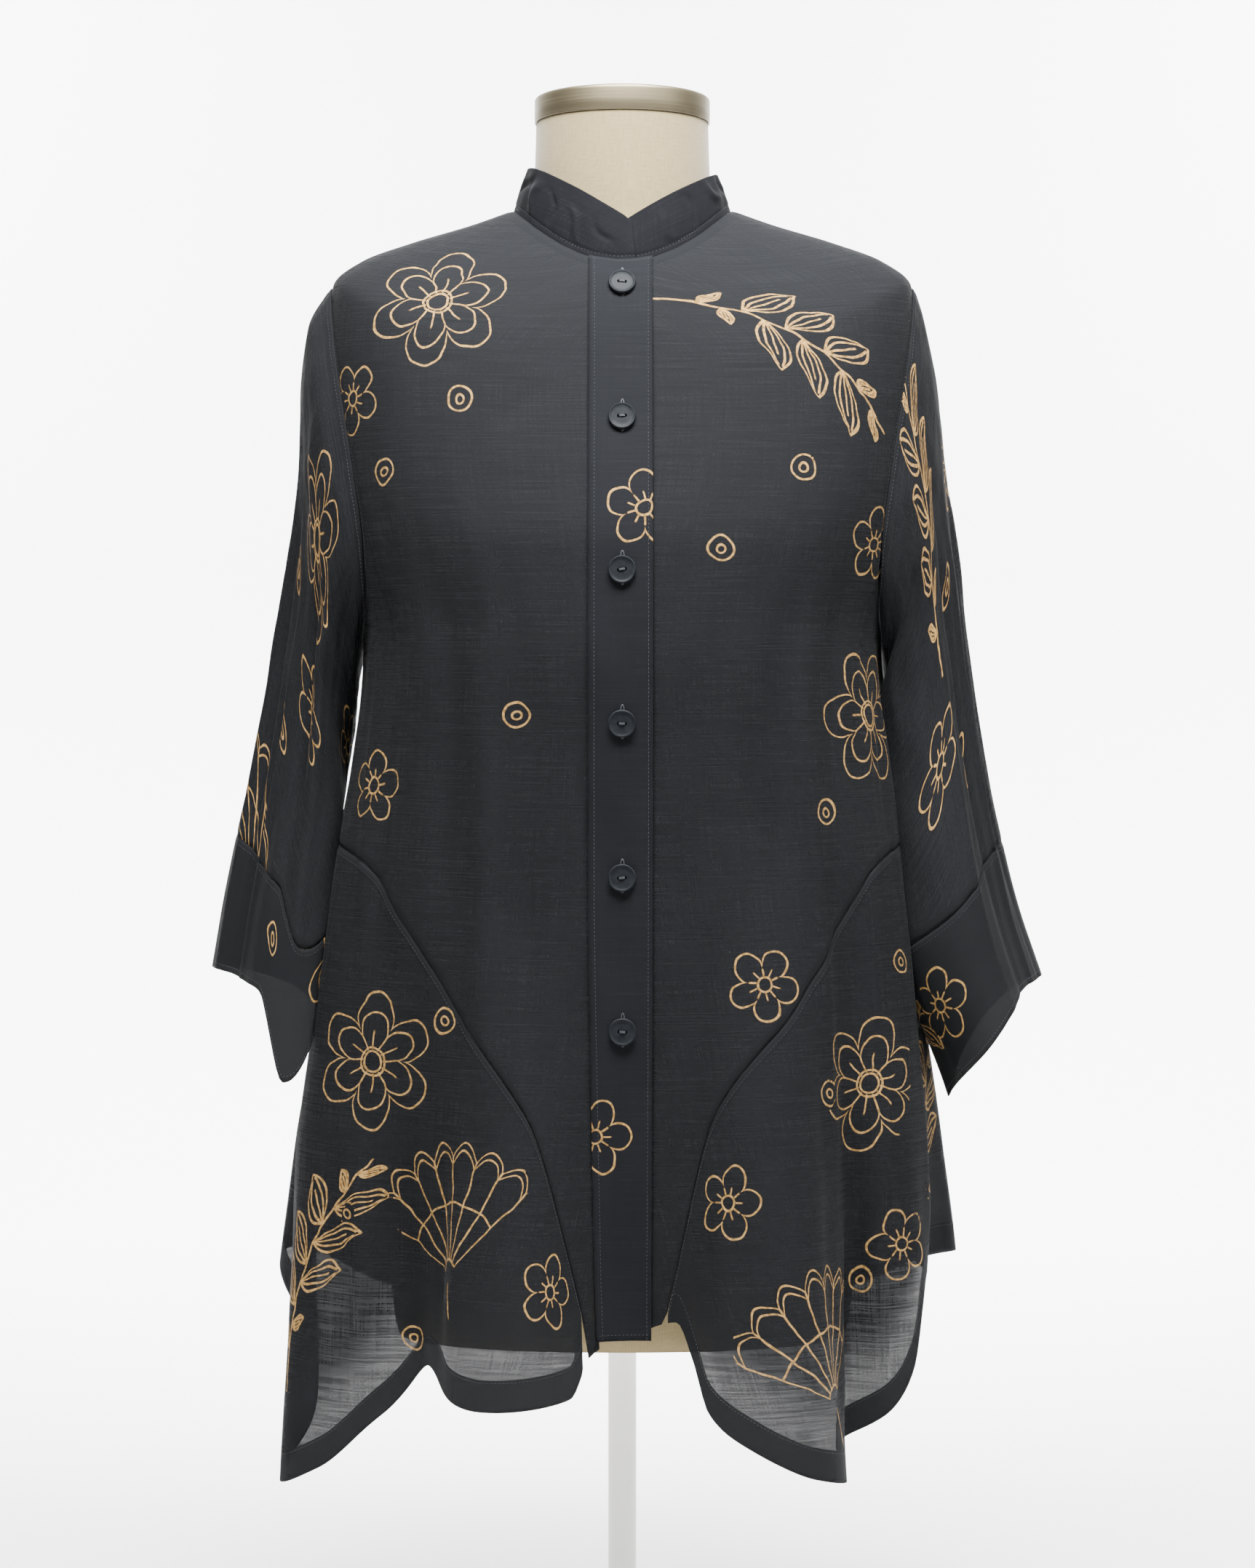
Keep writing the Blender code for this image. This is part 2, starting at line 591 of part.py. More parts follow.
def sleeve_start(table, turn, side):
    _, outer_x, outer_z, inner_x, inner_z, half_depth, centre_y = table[0]
    bend = np.cos(np.radians(turn))
    reach = np.sin(np.radians(turn))
    x = (outer_x + inner_x) / 2 + (outer_x - inner_x) / 2 * bend
    z = (outer_z + inner_z) / 2 + (outer_z - inner_z) / 2 * bend
    y = centre_y - half_depth * reach + np.zeros_like(bend)
    return np.stack([side * x, y, z], axis=-1)


def sleeve_normals(points, side):
    """Outward normals of a tube's grid, from its neighbours."""
    round_it = np.roll(points, -1, axis=1) - np.roll(points, 1, axis=1)
    down = np.empty_like(points)
    down[1:-1] = points[2:] - points[:-2]
    down[0] = points[1] - points[0]
    down[-1] = points[-1] - points[-2]
    normal = np.cross(down, round_it) * -side
    return normal / np.linalg.norm(normal, axis=-1, keepdims=True)


def sleeve(side, name, table, folds, point):
    """A sleeve and its deep cuff, which share one set of rings."""
    angles, levels, turn = armhole_ring(side)
    edge = body(angles, levels) + body_normal(angles, levels) * (CLOTH + SLEEVE_STAND_OFF)
    upper = np.linspace(0, CUFF_START, SLEEVE_ROWS + 1)
    lower = np.linspace(CUFF_START, 1.0, CUFF_ROWS + 1)
    whole = np.concatenate([upper, lower[1:]])
    points = sleeve_points(side, table, folds, point, turn[None, :], whole[:, None], edge[None])
    normals = sleeve_normals(points, side)
    cut = SLEEVE_ROWS + 1
    gap = points[cut] - points[cut - 1]
    gap = gap / np.linalg.norm(gap, axis=-1, keepdims=True) * SLANT_GAP
    cuff = points[cut - 1 :].copy()
    cuff[0] += gap
    order = slice(None, None, -1) if side > 0 else slice(None)
    wall("sleeve_" + name, points[:cut, order], normals[:cut, order], CLOTH, "cloth", closed=True)
    wall("cuff_" + name, cuff[:, order], normals[cut - 1 :, order], BAND_CLOTH, "cloth", closed=True)


def collar():
    """The collar band: it stands just inside the neckline, leans in, and laps over itself at the front."""
    lap = math.degrees(math.asin(BAND_OVER_TO_X / RINGS[0][4]))
    angle = np.linspace(lap, 360.0 + lap - COLLAR_LAP_EASE, COLLAR_COLUMNS + 1)
    level = np.full_like(angle, RINGS[0][0])
    foot = smooth_body(angle, level)
    radial = foot[:, :2] - np.array([0.0, COLLAR_CENTRE_Y])
    radial = radial / np.linalg.norm(radial, axis=1, keepdims=True)
    # The lapping end spirals out over the other end by one layer.
    share = (angle - angle[0]) / (angle[-1] - angle[0])
    over = np.clip((share - COLLAR_SPIRAL_START) / COLLAR_SPIRAL_LENGTH, 0, 1)
    inset = COLLAR_INSET - over * LAYER_STEP
    ahead = np.cos(np.radians(angle))
    lean = np.where(ahead > 0, COLLAR_LEAN_FRONT, COLLAR_LEAN_BACK)
    lean = COLLAR_LEAN_SIDE + (lean - COLLAR_LEAN_SIDE) * ahead * ahead
    height = (COLLAR_HEIGHT_FRONT + COLLAR_HEIGHT_BACK) / 2
    height = height + (COLLAR_HEIGHT_BACK - COLLAR_HEIGHT_FRONT) / 2 * -ahead
    rise = np.linspace(1, 0, COLLAR_ROWS + 1)[:, None]
    middle = np.zeros((COLLAR_ROWS + 1, len(angle), 3))
    middle[..., :2] = foot[None, :, :2] - radial[None] * (inset + lean * rise)[..., None]
    middle[..., 2] = foot[None, :, 2] + COLLAR_FOOT + height * rise
    normal = np.zeros_like(middle)
    normal[..., :2] = radial[None]
    normal[..., 2] = (lean / height)[None]
    normal = normal / np.linalg.norm(normal, axis=-1, keepdims=True)
    wall("collar", middle, normal, BAND_CLOTH, "band_cloth")


def turned(name, profile, sides, colour, sharp_degrees=30.0):
    """A solid turned round the Z axis from (radius, height) pairs, first and last on the axis."""
    turn = np.linspace(0, 2 * math.pi, sides, endpoint=False)
    vertices = [(0.0, 0.0, profile[0][1])]
    for radius, height in profile[1:-1]:
        vertices += [(radius * math.cos(a), radius * math.sin(a), height) for a in turn]
    vertices.append((0.0, 0.0, profile[-1][1]))
    rings = len(profile) - 2
    last = len(vertices) - 1
    faces = []
    for k in range(sides):
        n = (k + 1) % sides
        faces.append((0, 1 + n, 1 + k))
        for ring in range(rings - 1):
            low = 1 + ring * sides
            faces.append((low + k, low + n, low + sides + n, low + sides + k))
        high = 1 + (rings - 1) * sides
        faces.append((high + k, high + n, last))
    return new_mesh_object(name, vertices, faces, colour, sharp_degrees)


def button_cutter(offset):
    mesh = bpy.data.meshes.new("button_hole")
    shape = bmesh.new()
    bmesh.ops.create_cone(
        shape,
        cap_ends=True,
        segments=BUTTON_HOLE_SIDES,
        radius1=BUTTON_HOLE_RADIUS,
        radius2=BUTTON_HOLE_RADIUS,
        depth=4 * BUTTON_HEIGHT,
    )
    bmesh.ops.translate(shape, vec=(offset, 0, 0), verts=shape.verts)
    shape.to_mesh(mesh)
    shape.free()
    cutter = bpy.data.objects.new("button_hole", mesh)
    cutter.hide_render = True
    cutter.display_type = "WIRE"
    bpy.context.scene.collection.objects.link(cutter)
    return cutter


def button_mesh():
    """A flat button with a raised rim and two thread holes, face upwards."""
    inner = BUTTON_RADIUS - BUTTON_RIM
    profile = (
        (0.0, 0.0),
        (BUTTON_RADIUS - BUTTON_CHAMFER, 0.0),
        (BUTTON_RADIUS, BUTTON_CHAMFER),
        (BUTTON_RADIUS, BUTTON_HEIGHT - BUTTON_CHAMFER),
        (BUTTON_RADIUS - BUTTON_CHAMFER, BUTTON_HEIGHT),
        (inner, BUTTON_HEIGHT - BUTTON_DISH),
        (0.0, BUTTON_HEIGHT - BUTTON_DISH),
    )
    return turned("button_1", profile, BUTTON_SIDES, "button")


def buttons():
    """The buttons down the band, each square to the cloth under it and sharing one mesh."""
    cutters = [button_cutter(offset) for offset in (-BUTTON_HOLE_OFFSET, BUTTON_HOLE_OFFSET)]
    lift = LAYER_STEP + BAND_CLOTH / 2 + SEAM_GAP
    first = button_mesh()
    for cutter in cutters:
        cut = first.modifiers.new("hole", "BOOLEAN")
        cut.operation = "DIFFERENCE"
        cut.object = cutter
    bpy.context.view_layer.update()
    graph = bpy.context.evaluated_depsgraph_get()
    cut_mesh = bpy.data.meshes.new_from_object(first.evaluated_get(graph))
    first.modifiers.clear()
    first.data = cut_mesh
    for cutter in cutters:
        bpy.data.objects.remove(cutter)
    for number, level in enumerate(BUTTON_LEVELS, 1):
        made = first if number == 1 else bpy.data.objects.new(f"button_{number}", cut_mesh)
        if number > 1:
            bpy.context.scene.collection.objects.link(made)
        place = body(0.0, level)
        normal = body_normal(0.0, level)
        made.location = place + normal * lift
        made.rotation_euler = (math.pi / 2 - math.asin(normal[2]), 0.0, 0.0)


def shoulder_points():
    """The form's shoulders: the cloth's own points there, moved in by half a wall and a small gap."""
    rows = slice(1, SHOULDER_ROWS + 1)
    left, back, right = front_grid(1), back_grid(), front_grid(-1)
    angle = np.concatenate(
        [left[0][rows, 2::2], back[0][rows, 1:-1:2], right[0][rows, 2::2][:, ::-1] + 360.0], axis=1
    )
    level = np.concatenate([left[1][rows, 2::2], back[1][rows, 1:-1:2], right[1][rows, 2::2][:, ::-1]], axis=1)
    inwards = CLOTH / 2 + FORM_CLEARANCE
    return angle, (body(angle, level) - body_normal(angle, level) * inwards)[::-1]


def form_ring(angle, ring):
    front_z, side_z, back_z, half_width, front_y, back_y, squareness = ring
    x, y = on_ring(angle, half_width, front_y, back_y, squareness)
    return np.stack([x, y, ring_height(angle, front_z, side_z, back_z)], axis=-1)


def stacked_rings(name, rings, colour, sharp_degrees):
    """A solid through closed rings of points listed from the lowest up, capped at both ends."""
    count = len(rings[0])
    vertices = np.concatenate(rings)
    faces = []
    for ring in range(len(rings) - 1):
        low = ring * count
        for k in range(count):
            n = (k + 1) % count
            faces.extend(halves(vertices, low + n, low + count + n, low + count + k, low + k))
    top = (len(rings) - 1) * count
    faces.append(tuple(range(count))[::-1])
    faces.append(tuple(range(top, top + count)))
    return new_mesh_object(name, vertices, faces, colour, sharp_degrees)


def dress_form():
    """The limbless form: its torso, the shoulders that carry the blouse, and its neck."""
    angle, shoulders = shoulder_points()
    torso = [form_ring(angle[-1], ring) for ring in FORM_TORSO]
    neck = [form_ring(angle[0], ring) for ring in FORM_NECK]
    stacked_rings("form_torso", torso + list(shoulders) + neck, "form_cover", 60.0)


def neck_cap():
    """The metal cap on the neck, with a softened upper edge."""
    turn = np.linspace(0, 360, CAP_COLUMNS, endpoint=False)
    half_width, front_y, back_y = FORM_NECK[-1][3:6]
    foot = NECK_TOP + SEAM_GAP
    eased = CAP_EDGE * CAP_SOFTNESS
    steps = (
        (CAP_PROUD, 0.0),
        (CAP_PROUD, CAP_HEIGHT - CAP_EDGE),
        (CAP_PROUD - eased, CAP_HEIGHT - eased),
        (CAP_PROUD - CAP_EDGE, CAP_HEIGHT),
    )
    rings = []
    for proud, rise in steps:
        height = foot + rise
        size = (half_width + proud, front_y + proud, back_y + proud)
        rings.append(form_ring(turn, (height, height, height, *size, 2.0)))
    stacked_rings("neck_cap", rings, "cap_metal", 30.0)


def stand():
    """A plain weighted base with a hub, and the pole that carries the form."""
    base = (
        (0.0, 0.0),
        (BASE_RADIUS, 0.0),
        (BASE_RADIUS, BASE_HEIGHT - BASE_CHAMFER),
        (BASE_RADIUS - BASE_CHAMFER, BASE_HEIGHT),
        (HUB_RADIUS, BASE_HEIGHT + BASE_SLOPE),
        (HUB_RADIUS - HUB_TAPER, BASE_HEIGHT + HUB_HEIGHT),
        (0.0, BASE_HEIGHT + HUB_HEIGHT),
    )
    turned("stand_base", base, BASE_SIDES, "stand_metal")
    foot = BASE_HEIGHT + HUB_HEIGHT + SEAM_GAP
    head = FORM_BOTTOM - SEAM_GAP
    pole = (
        (0.0, foot),
        (POLE_RADIUS, foot),
        (POLE_RADIUS, head - FLANGE_HEIGHT),
        (FLANGE_RADIUS, head - FLANGE_EDGE),
        (FLANGE_RADIUS, head),
        (0.0, head),
    )
    turned("stand_pole", pole, POLE_SIDES, "stand_metal")


def main():
    for old in list(bpy.data.objects):
        bpy.data.objects.remove(old)
    stand()
    dress_form()
    neck_cap()
    front_panel("front_right", -1)
    front_panel("front_left", 1)
    back_panel()
    side_panel("side_panel_right", -1)
    side_panel("side_panel_left", 1)
    sleeve(-1, "right", RIGHT_SLEEVE, RIGHT_SLEEVE_FOLDS, RIGHT_CUFF_POINT)
    sleeve(1, "left", LEFT_SLEEVE, LEFT_SLEEVE_FOLDS, LEFT_CUFF_POINT)
    button_band("band_under", BAND_UNDER_FROM_X, BAND_UNDER_TO_X, 0.0)
    button_band("band_over", BAND_OVER_FROM_X, BAND_OVER_TO_X, LAYER_STEP)
    collar()
    buttons()


main()
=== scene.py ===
import math

import bmesh
import bpy
import numpy as np
from mathutils import Matrix, Vector


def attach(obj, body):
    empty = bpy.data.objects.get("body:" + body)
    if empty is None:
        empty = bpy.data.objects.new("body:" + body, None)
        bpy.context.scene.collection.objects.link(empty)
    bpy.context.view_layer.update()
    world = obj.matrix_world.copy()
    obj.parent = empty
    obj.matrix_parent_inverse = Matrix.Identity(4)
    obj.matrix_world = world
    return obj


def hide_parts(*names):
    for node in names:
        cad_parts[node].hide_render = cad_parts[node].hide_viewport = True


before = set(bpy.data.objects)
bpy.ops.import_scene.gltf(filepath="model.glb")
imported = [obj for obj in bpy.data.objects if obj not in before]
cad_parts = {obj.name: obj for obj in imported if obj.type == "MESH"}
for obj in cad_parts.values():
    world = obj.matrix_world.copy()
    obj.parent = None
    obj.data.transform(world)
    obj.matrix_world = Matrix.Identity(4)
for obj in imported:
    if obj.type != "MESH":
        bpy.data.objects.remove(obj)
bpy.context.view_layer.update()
print("frame loaded:", len(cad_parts), "nodes")

# The blouse's cut and hang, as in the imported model: levels and angles run over the same rings.
# Angles go round the form: 0 is centre front, +90 the wearer's left side, 180 centre back.
blouse = {
    "wall": 0.0008,  # cloth thickness
    "seamGap": 0.0003,
    "shoulderRows": 34,
    "armholeRows": 72,
    "sideRows": 54,
    "frontColumns": 92,
    "backColumns": 92,
    "flareRows": 96,
    "crowding": 1.15,  # power that crowds a front's columns towards the closing
    # level, front z, side z, back z, half width, front y, back y, squareness
    "rings": (
        (1, 1.002, 1.049, 1.059, 0.0785, 0.088, 0.066, 2), (0.985, 0.988, 1.039, 1.053, 0.106, 0.097, 0.08, 2.05),
        (0.965, 0.968, 1.0255, 1.04, 0.15, 0.106, 0.093, 2.15),
        (0.945, 0.948, 1.012, 1.02, 0.185, 0.113, 0.102, 2.3),
        (0.925, 0.927, 0.994, 0.992, 0.205, 0.119, 0.108, 2.4),
        (0.895, 0.897, 0.945, 0.945, 0.209, 0.127, 0.112, 2.45),
        (0.85, 0.851, 0.868, 0.872, 0.204, 0.139, 0.115, 2.45), (0.8, 0.8, 0.803, 0.804, 0.194, 0.149, 0.116, 2.35),
        (0.742, 0.742, 0.742, 0.742, 0.183, 0.15, 0.115, 2.25), (0.66, 0.66, 0.66, 0.66, 0.191, 0.144, 0.113, 2.2),
        (0.58, 0.58, 0.58, 0.58, 0.2035, 0.139, 0.115, 2.2), (0.48, 0.48, 0.48, 0.48, 0.215, 0.136, 0.122, 2.2),
        (0.38, 0.38, 0.38, 0.38, 0.2225, 0.134, 0.13, 2.2), (0.26, 0.26, 0.26, 0.26, 0.225, 0.132, 0.137, 2.2),
        (0.12, 0.12, 0.12, 0.12, 0.226, 0.132, 0.14, 2.2),
    ),
    # angle, half angle, depth, start height, swell
    "folds": (
        (-17.5, 9.5, 0.056, 0.56, 0.5), (0, 8, -0.01, 0.48, 0), (24.5, 10.5, 0.06, 0.62, 0.4),
        (-41, 9, -0.024, 0.56, 0), (45, 7, -0.03, 0.6, 0), (-72, 13, 0.021, 0.7, 0.12), (61, 9, 0.007, 0.64, 0.1),
        (-90, 8, -0.016, 0.64, 0), (83, 9, -0.022, 0.64, 0), (-106, 10, 0.047, 0.6, 0.12),
        (107, 10, 0.038, 0.6, 0.12), (-131, 8, -0.018, 0.52, 0), (129, 8, -0.018, 0.52, 0),
        (-151, 10, 0.044, 0.56, 0.2), (150, 10, 0.04, 0.56, 0.2), (180, 11, 0.036, 0.52, 0.18),
    ),
    "foldFloor": 0.200,  # height at which a fold has its full depth
    "foldGrowth": 1.25,
    "foldMost": 1.3,
    # angle, hem height
    "hem": (
        (-180, 0.262), (-150, 0.268), (-128, 0.276), (-108, 0.305), (-97, 0.268), (-84, 0.182), (-74, 0.155),
        (-62, 0.169), (-48, 0.207), (-34, 0.244), (-19, 0.224), (-9.5, 0.229), (-5.5, 0.256), (0, 0.266),
        (8.5, 0.278), (11.5, 0.254), (14.5, 0.219), (20, 0.199), (27, 0.179), (34, 0.171), (43, 0.183), (53, 0.205),
        (60, 0.238), (65, 0.28), (71, 0.3), (92, 0.306), (106, 0.304), (128, 0.276), (150, 0.266), (180, 0.262),
    ),
    # angle off centre front or back, height of the slanting seam
    "frontSeam": ((6.8, 0.284), (15, 0.418), (30, 0.492), (45, 0.548), (60, 0.588), (90, 0.606)),
    "backSeam": ((12, 0.268), (20, 0.38), (35, 0.478), (50, 0.542), (65, 0.582), (90, 0.606)),
    "frontSeamStart": 6.8,
    "backSeamStart": 12.0,
    "seamRadius": 0.226,  # of the body where the slanting seams run
    "levelRing": 0.800,  # the ring that hangs level all round
    "closingEdge": 0.0198,  # how far from the middle the cut fronts end, under the bands
    "armholeTop": 0.925,
    "armholeBottom": 0.742,
    "armholeFront": 27.0,  # degrees from the side line to its widest place
    "armholeBack": 30.0,
    "underlap": 0.005,  # how far the body's cloth runs on under a sleeve's edge
    "sleeveLift": 0.0017,  # how far out a sleeve starts from the body
    "flareInset": 0.12,  # degrees that a flare's ends stop short of its seams' ends
    "leastFlare": 0.0035,
    "creaseRadius": 0.20,
    "restless": 0.00045,
    "seamDip": 0.0006,  # depth of the trough along a seam
    "seamDipWidth": 0.0028,
    # soft creases: from angle, from height, to angle, to height, width in metres, depth in metres
    "creases": (
        (-27, 0.745, -24, 0.43, 0.012, 0.0042), (-37, 0.76, -33, 0.5, 0.01, -0.0024),
        (-47, 0.8, -42, 0.56, 0.014, 0.0022), (-55, 0.69, -50, 0.47, 0.009, -0.002),
        (-66, 0.73, -58, 0.52, 0.008, 0.0018), (-16, 0.62, -12, 0.38, 0.008, -0.0014),
        (-62, 0.81, -54, 0.7, 0.006, -0.0016), (-70, 0.77, -58, 0.655, 0.005, 0.0014),
        (13, 0.56, 11, 0.33, 0.007, -0.0016), (20, 0.7, 18, 0.47, 0.012, 0.002),
        (31, 0.74, 29, 0.52, 0.01, -0.0026), (40, 0.745, 37, 0.41, 0.011, 0.0048),
        (51, 0.8, 47, 0.6, 0.011, -0.0022), (62, 0.72, 56, 0.52, 0.009, 0.002),
        (68, 0.79, 57, 0.66, 0.006, -0.0016), (72, 0.7, 66, 0.56, 0.007, -0.0018),
        (-36, 0.955, -48, 0.88, 0.012, 0.0012), (36, 0.95, 47, 0.87, 0.011, 0.0011),
        (-9, 0.905, -20, 0.885, 0.006, -0.0007), (-31, 0.395, -28, 0.255, 0.007, -0.003),
        (-24, 0.36, -23, 0.235, 0.006, 0.0026), (-52, 0.4, -53, 0.22, 0.01, 0.004),
        (-61, 0.36, -63, 0.18, 0.007, -0.003), (-80, 0.42, -80, 0.19, 0.008, 0.0036),
        (17, 0.38, 15, 0.225, 0.006, 0.0024), (33, 0.42, 34, 0.18, 0.008, -0.0032),
        (39, 0.33, 40, 0.19, 0.006, 0.0024), (53, 0.42, 52, 0.215, 0.008, 0.0036),
        (72, 0.45, 73, 0.3, 0.009, 0.0034), (150, 0.9, 156, 0.64, 0.016, 0.0024),
        (-152, 0.89, -157, 0.6, 0.015, 0.0026), (168, 0.76, 170, 0.47, 0.012, -0.0022),
        (-170, 0.72, -168, 0.44, 0.013, -0.0024), (131, 0.8, 136, 0.56, 0.012, -0.0022),
        (-133, 0.78, -138, 0.54, 0.011, -0.0022), (118, 0.74, 122, 0.56, 0.009, 0.0018),
        (-116, 0.735, -120, 0.55, 0.009, 0.0018), (139, 0.42, 141, 0.29, 0.008, -0.003),
        (-141, 0.41, -142, 0.295, 0.008, -0.003), (165, 0.4, 166, 0.28, 0.009, 0.0028),
        (-164, 0.39, -166, 0.285, 0.009, 0.0028), (120, 0.42, 119, 0.3, 0.008, 0.003),
        (-120, 0.415, -121, 0.3, 0.008, 0.003),
    ),
}
sides = (("Right", -1), ("Left", 1))


def flowThrough(knots, values, at):
    # A cubic through the knots that never overshoots: each slope is the harmonic mean of its neighbours' rises.
    order = np.argsort(knots)
    x, y = np.asarray(knots, float)[order], np.asarray(values, float)[order]
    step = np.diff(x)
    rise = np.diff(y) / step
    sameWay = rise[:-1] * rise[1:] > 0
    both = np.where(sameWay, rise[:-1] + rise[1:], 1.0)
    slope = np.zeros_like(y)
    slope[1:-1] = np.where(sameWay, 2 * rise[:-1] * rise[1:] / both, 0.0)
    slope[0], slope[-1] = rise[0], rise[-1]
    at = np.clip(at, x[0], x[-1])
    left = np.clip(np.searchsorted(x, at, side="right") - 1, 0, len(step) - 1)
    t = (at - x[left]) / step[left]
    ease = t * t * (3 - 2 * t)
    pull = t * (1 - t) ** 2 * slope[left] - t * t * (1 - t) * slope[left + 1]
    return y[left] * (1 - ease) + y[left + 1] * ease + step[left] * pull


def readTable(table, at, column=1):
    # A column of a table, flowing through its rows; the first column says where each row stands.
    table = np.array(table)
    return flowThrough(table[:, 0], table[:, column], at)


def smoothStep(low, high, at):
    # 0 up to low, 1 from high on, 3t^2 - 2t^3 between them.
    t = np.clip((at - low) / (high - low), 0.0, 1.0)
    return t * t * (3 - 2 * t)


def bell(away):
    # exp(-away^2): 1 in the middle, about a third at 1, nearly nothing at 2.
    return np.exp(-away * away)


def unit(vectors):
    # Vectors divided by their own lengths.
    return vectors / np.linalg.norm(vectors, axis=-1, keepdims=True)


def turnBetween(angle, centre):
    # Degrees from centre to angle the short way round, from -180 to 180.
    return (angle - centre + 180.0) % 360.0 - 180.0


def wrapped(grid):
    # A closed grid with its first column repeated after the last.
    return np.concatenate([grid, grid[:, :1]], axis=1)


def runAlong(points, axis):
    # Arc length in metres from the first row (axis 0) or the first column (axis 1).
    steps = np.linalg.norm(np.diff(points, axis=axis), axis=-1)
    return np.insert(np.cumsum(steps, axis=axis), 0, 0.0, axis=axis)


def ringValue(place, level):
    # One measure of the body's rings at a level.
    return readTable(blouse["rings"], level, place)


def onRing(angle, halfWidth, frontY, backY, squareness):
    # Plan position on a rounded ring: sine and cosine raised to 2/squareness, keeping their signs.
    turn = np.radians(angle)
    power = 2 / squareness
    across = np.sign(np.sin(turn)) * np.abs(np.sin(turn)) ** power
    ahead = np.sign(np.cos(turn)) * np.abs(np.cos(turn)) ** power
    return halfWidth * across, -np.where(ahead > 0, frontY, backY) * ahead


def ringPoints(angle, frontZ, sideZ, backZ, *plan):
    # A ring's points: front and back heights ease to the side height with the squared cosine.
    ahead = np.cos(np.radians(angle))
    z = sideZ + (np.where(ahead > 0, frontZ, backZ) - sideZ) * ahead * ahead
    return np.stack(np.broadcast_arrays(*onRing(angle, *plan), z), axis=-1)


def plainBody(angle, level):
    # The body without folds: its rings' measures flow from level to level.
    return ringPoints(angle, *(ringValue(place, level) for place in range(1, 8)))


def body(angle, level):
    # The body's surface: rings moved out along their own normal by bell-shaped folds that grow towards the hem. A
    # fold's swell pushes its flanks apart.
    angle, level = np.broadcast_arrays(np.asarray(angle, float), np.asarray(level, float))
    place = plainBody(angle, level)
    along = unit((plainBody(angle + 1.0, level) - plainBody(angle - 1.0, level))[..., :2])
    outwards = np.zeros(angle.shape)
    sideways = np.zeros(angle.shape)
    for centre, halfAngle, depth, start, swell in blouse["folds"]:
        reach = turnBetween(angle, centre) / halfAngle
        grown = np.clip((start - level) / (start - blouse["foldFloor"]), 0.0, blouse["foldMost"])
        fold = bell(reach) * grown ** blouse["foldGrowth"] * depth
        outwards = outwards + fold
        sideways = sideways + swell * reach * fold
    place[..., 0] += along[..., 1] * outwards + along[..., 0] * sideways
    place[..., 1] += -along[..., 0] * outwards + along[..., 1] * sideways
    return place


def bodyNormal(angle, level):
    # Outward normal: a small step round the body times a small step up it.
    higher = np.minimum(level + 0.002, 1.0)
    roundIt = body(angle + 0.5, level) - body(angle - 0.5, level)
    return unit(np.cross(roundIt, body(angle, higher) - body(angle, higher - 0.004)))


def creaseHeight(angle, level, creases, radius):
    # Each crease is a bell across a straight line on the unrolled cloth, fading towards both ends.
    across = np.radians(turnBetween(angle, 0.0)) * radius
    height = np.zeros(np.broadcast(angle, level).shape)
    for fromAngle, fromLevel, toAngle, toLevel, width, depth in creases:
        startX = np.radians(fromAngle) * radius
        runX, runY = np.radians(toAngle) * radius - startX, toLevel - fromLevel
        length = math.hypot(runX, runY)
        share = ((across - startX) * runX + (level - fromLevel) * runY) / length ** 2
        wander = 0.003 * np.sin(share * 5.0 + fromAngle)
        away = ((across - startX) * runY - (level - fromLevel) * runX) / length + wander
        fade = smoothStep(-0.18, 0.30, share) * (1 - smoothStep(0.62, 1.15, share))
        height = height + depth * bell(away / width) * fade
    return height


def restless(angle, level):
    # Uneven hang of thin cloth: a few sine waves of unlike lengths, weak at the shoulders.
    turn = np.radians(angle)
    wave = np.sin(turn * 11 + level * 9) * np.sin(level * 31 + 1.3)
    wave = wave + 0.7 * np.sin(turn * 23 - level * 17 + 0.6) * np.sin(level * 47 + 2.1)
    wave = wave + 0.5 * np.sin(turn * 37 + level * 29 + 2.2)
    return blouse["restless"] * wave * (0.35 + 0.65 * smoothStep(0.93, 0.70, level))


def drapedBody(angle, level, lift=0.0):
    # Points and normals of the hanging cloth with its creases; lift moves a layer out.
    normal = bodyNormal(angle, level)
    height = lift + creaseHeight(angle, level, blouse["creases"], blouse["creaseRadius"]) + restless(angle, level)
    return body(angle, level) + normal * height[..., None], normal


def hemHeight(angle):
    # Level of the hem at an angle.
    return readTable(blouse["hem"], turnBetween(np.asarray(angle, float), 0.0))


def angleAtX(x, level):
    # The angle at which a ring stands x from the middle: its sine is (x / half width) to squareness/2.
    share = np.clip(np.abs(x) / ringValue(4, level), 0, 1) ** (ringValue(7, level) / 2)
    return np.sign(x) * np.degrees(np.arcsin(share))


def armholeSpread(level, widest, under=0.0):
    # Half an ellipse in angle over level, drawn in by a margin all round.
    middle = (blouse["armholeTop"] + blouse["armholeBottom"]) / 2
    full = (blouse["armholeTop"] - blouse["armholeBottom"]) / 2
    half = full - under
    return widest * half / full * np.sqrt(np.clip(1 - ((level - middle) / half) ** 2, 0, 1))


def rowShares():
    # Rows down the side line, evenly spaced over the shoulder, the armhole and the side seam.
    under = blouse["underlap"]
    stops = (1.0, blouse["armholeTop"] - under, blouse["armholeBottom"] + under, blouse["frontSeam"][-1][1])
    counts = (blouse["shoulderRows"], blouse["armholeRows"], blouse["sideRows"])
    runs = [np.linspace(high, low, count, endpoint=False) for high, low, count in zip(stops, stops[1:], counts)]
    levels = np.concatenate([*runs, stops[-1:]])
    return (1.0 - levels) / (1.0 - levels[-1])


def seamLine(table, angles):
    # Level of a slanting seam, and half its gap measured upright, which widens as the seam steepens.
    height = readTable(table, angles)
    steepness = np.gradient(height, np.radians(angles) * blouse["seamRadius"])
    return height, blouse["seamGap"] / 2 * np.sqrt(1 + steepness * steepness)


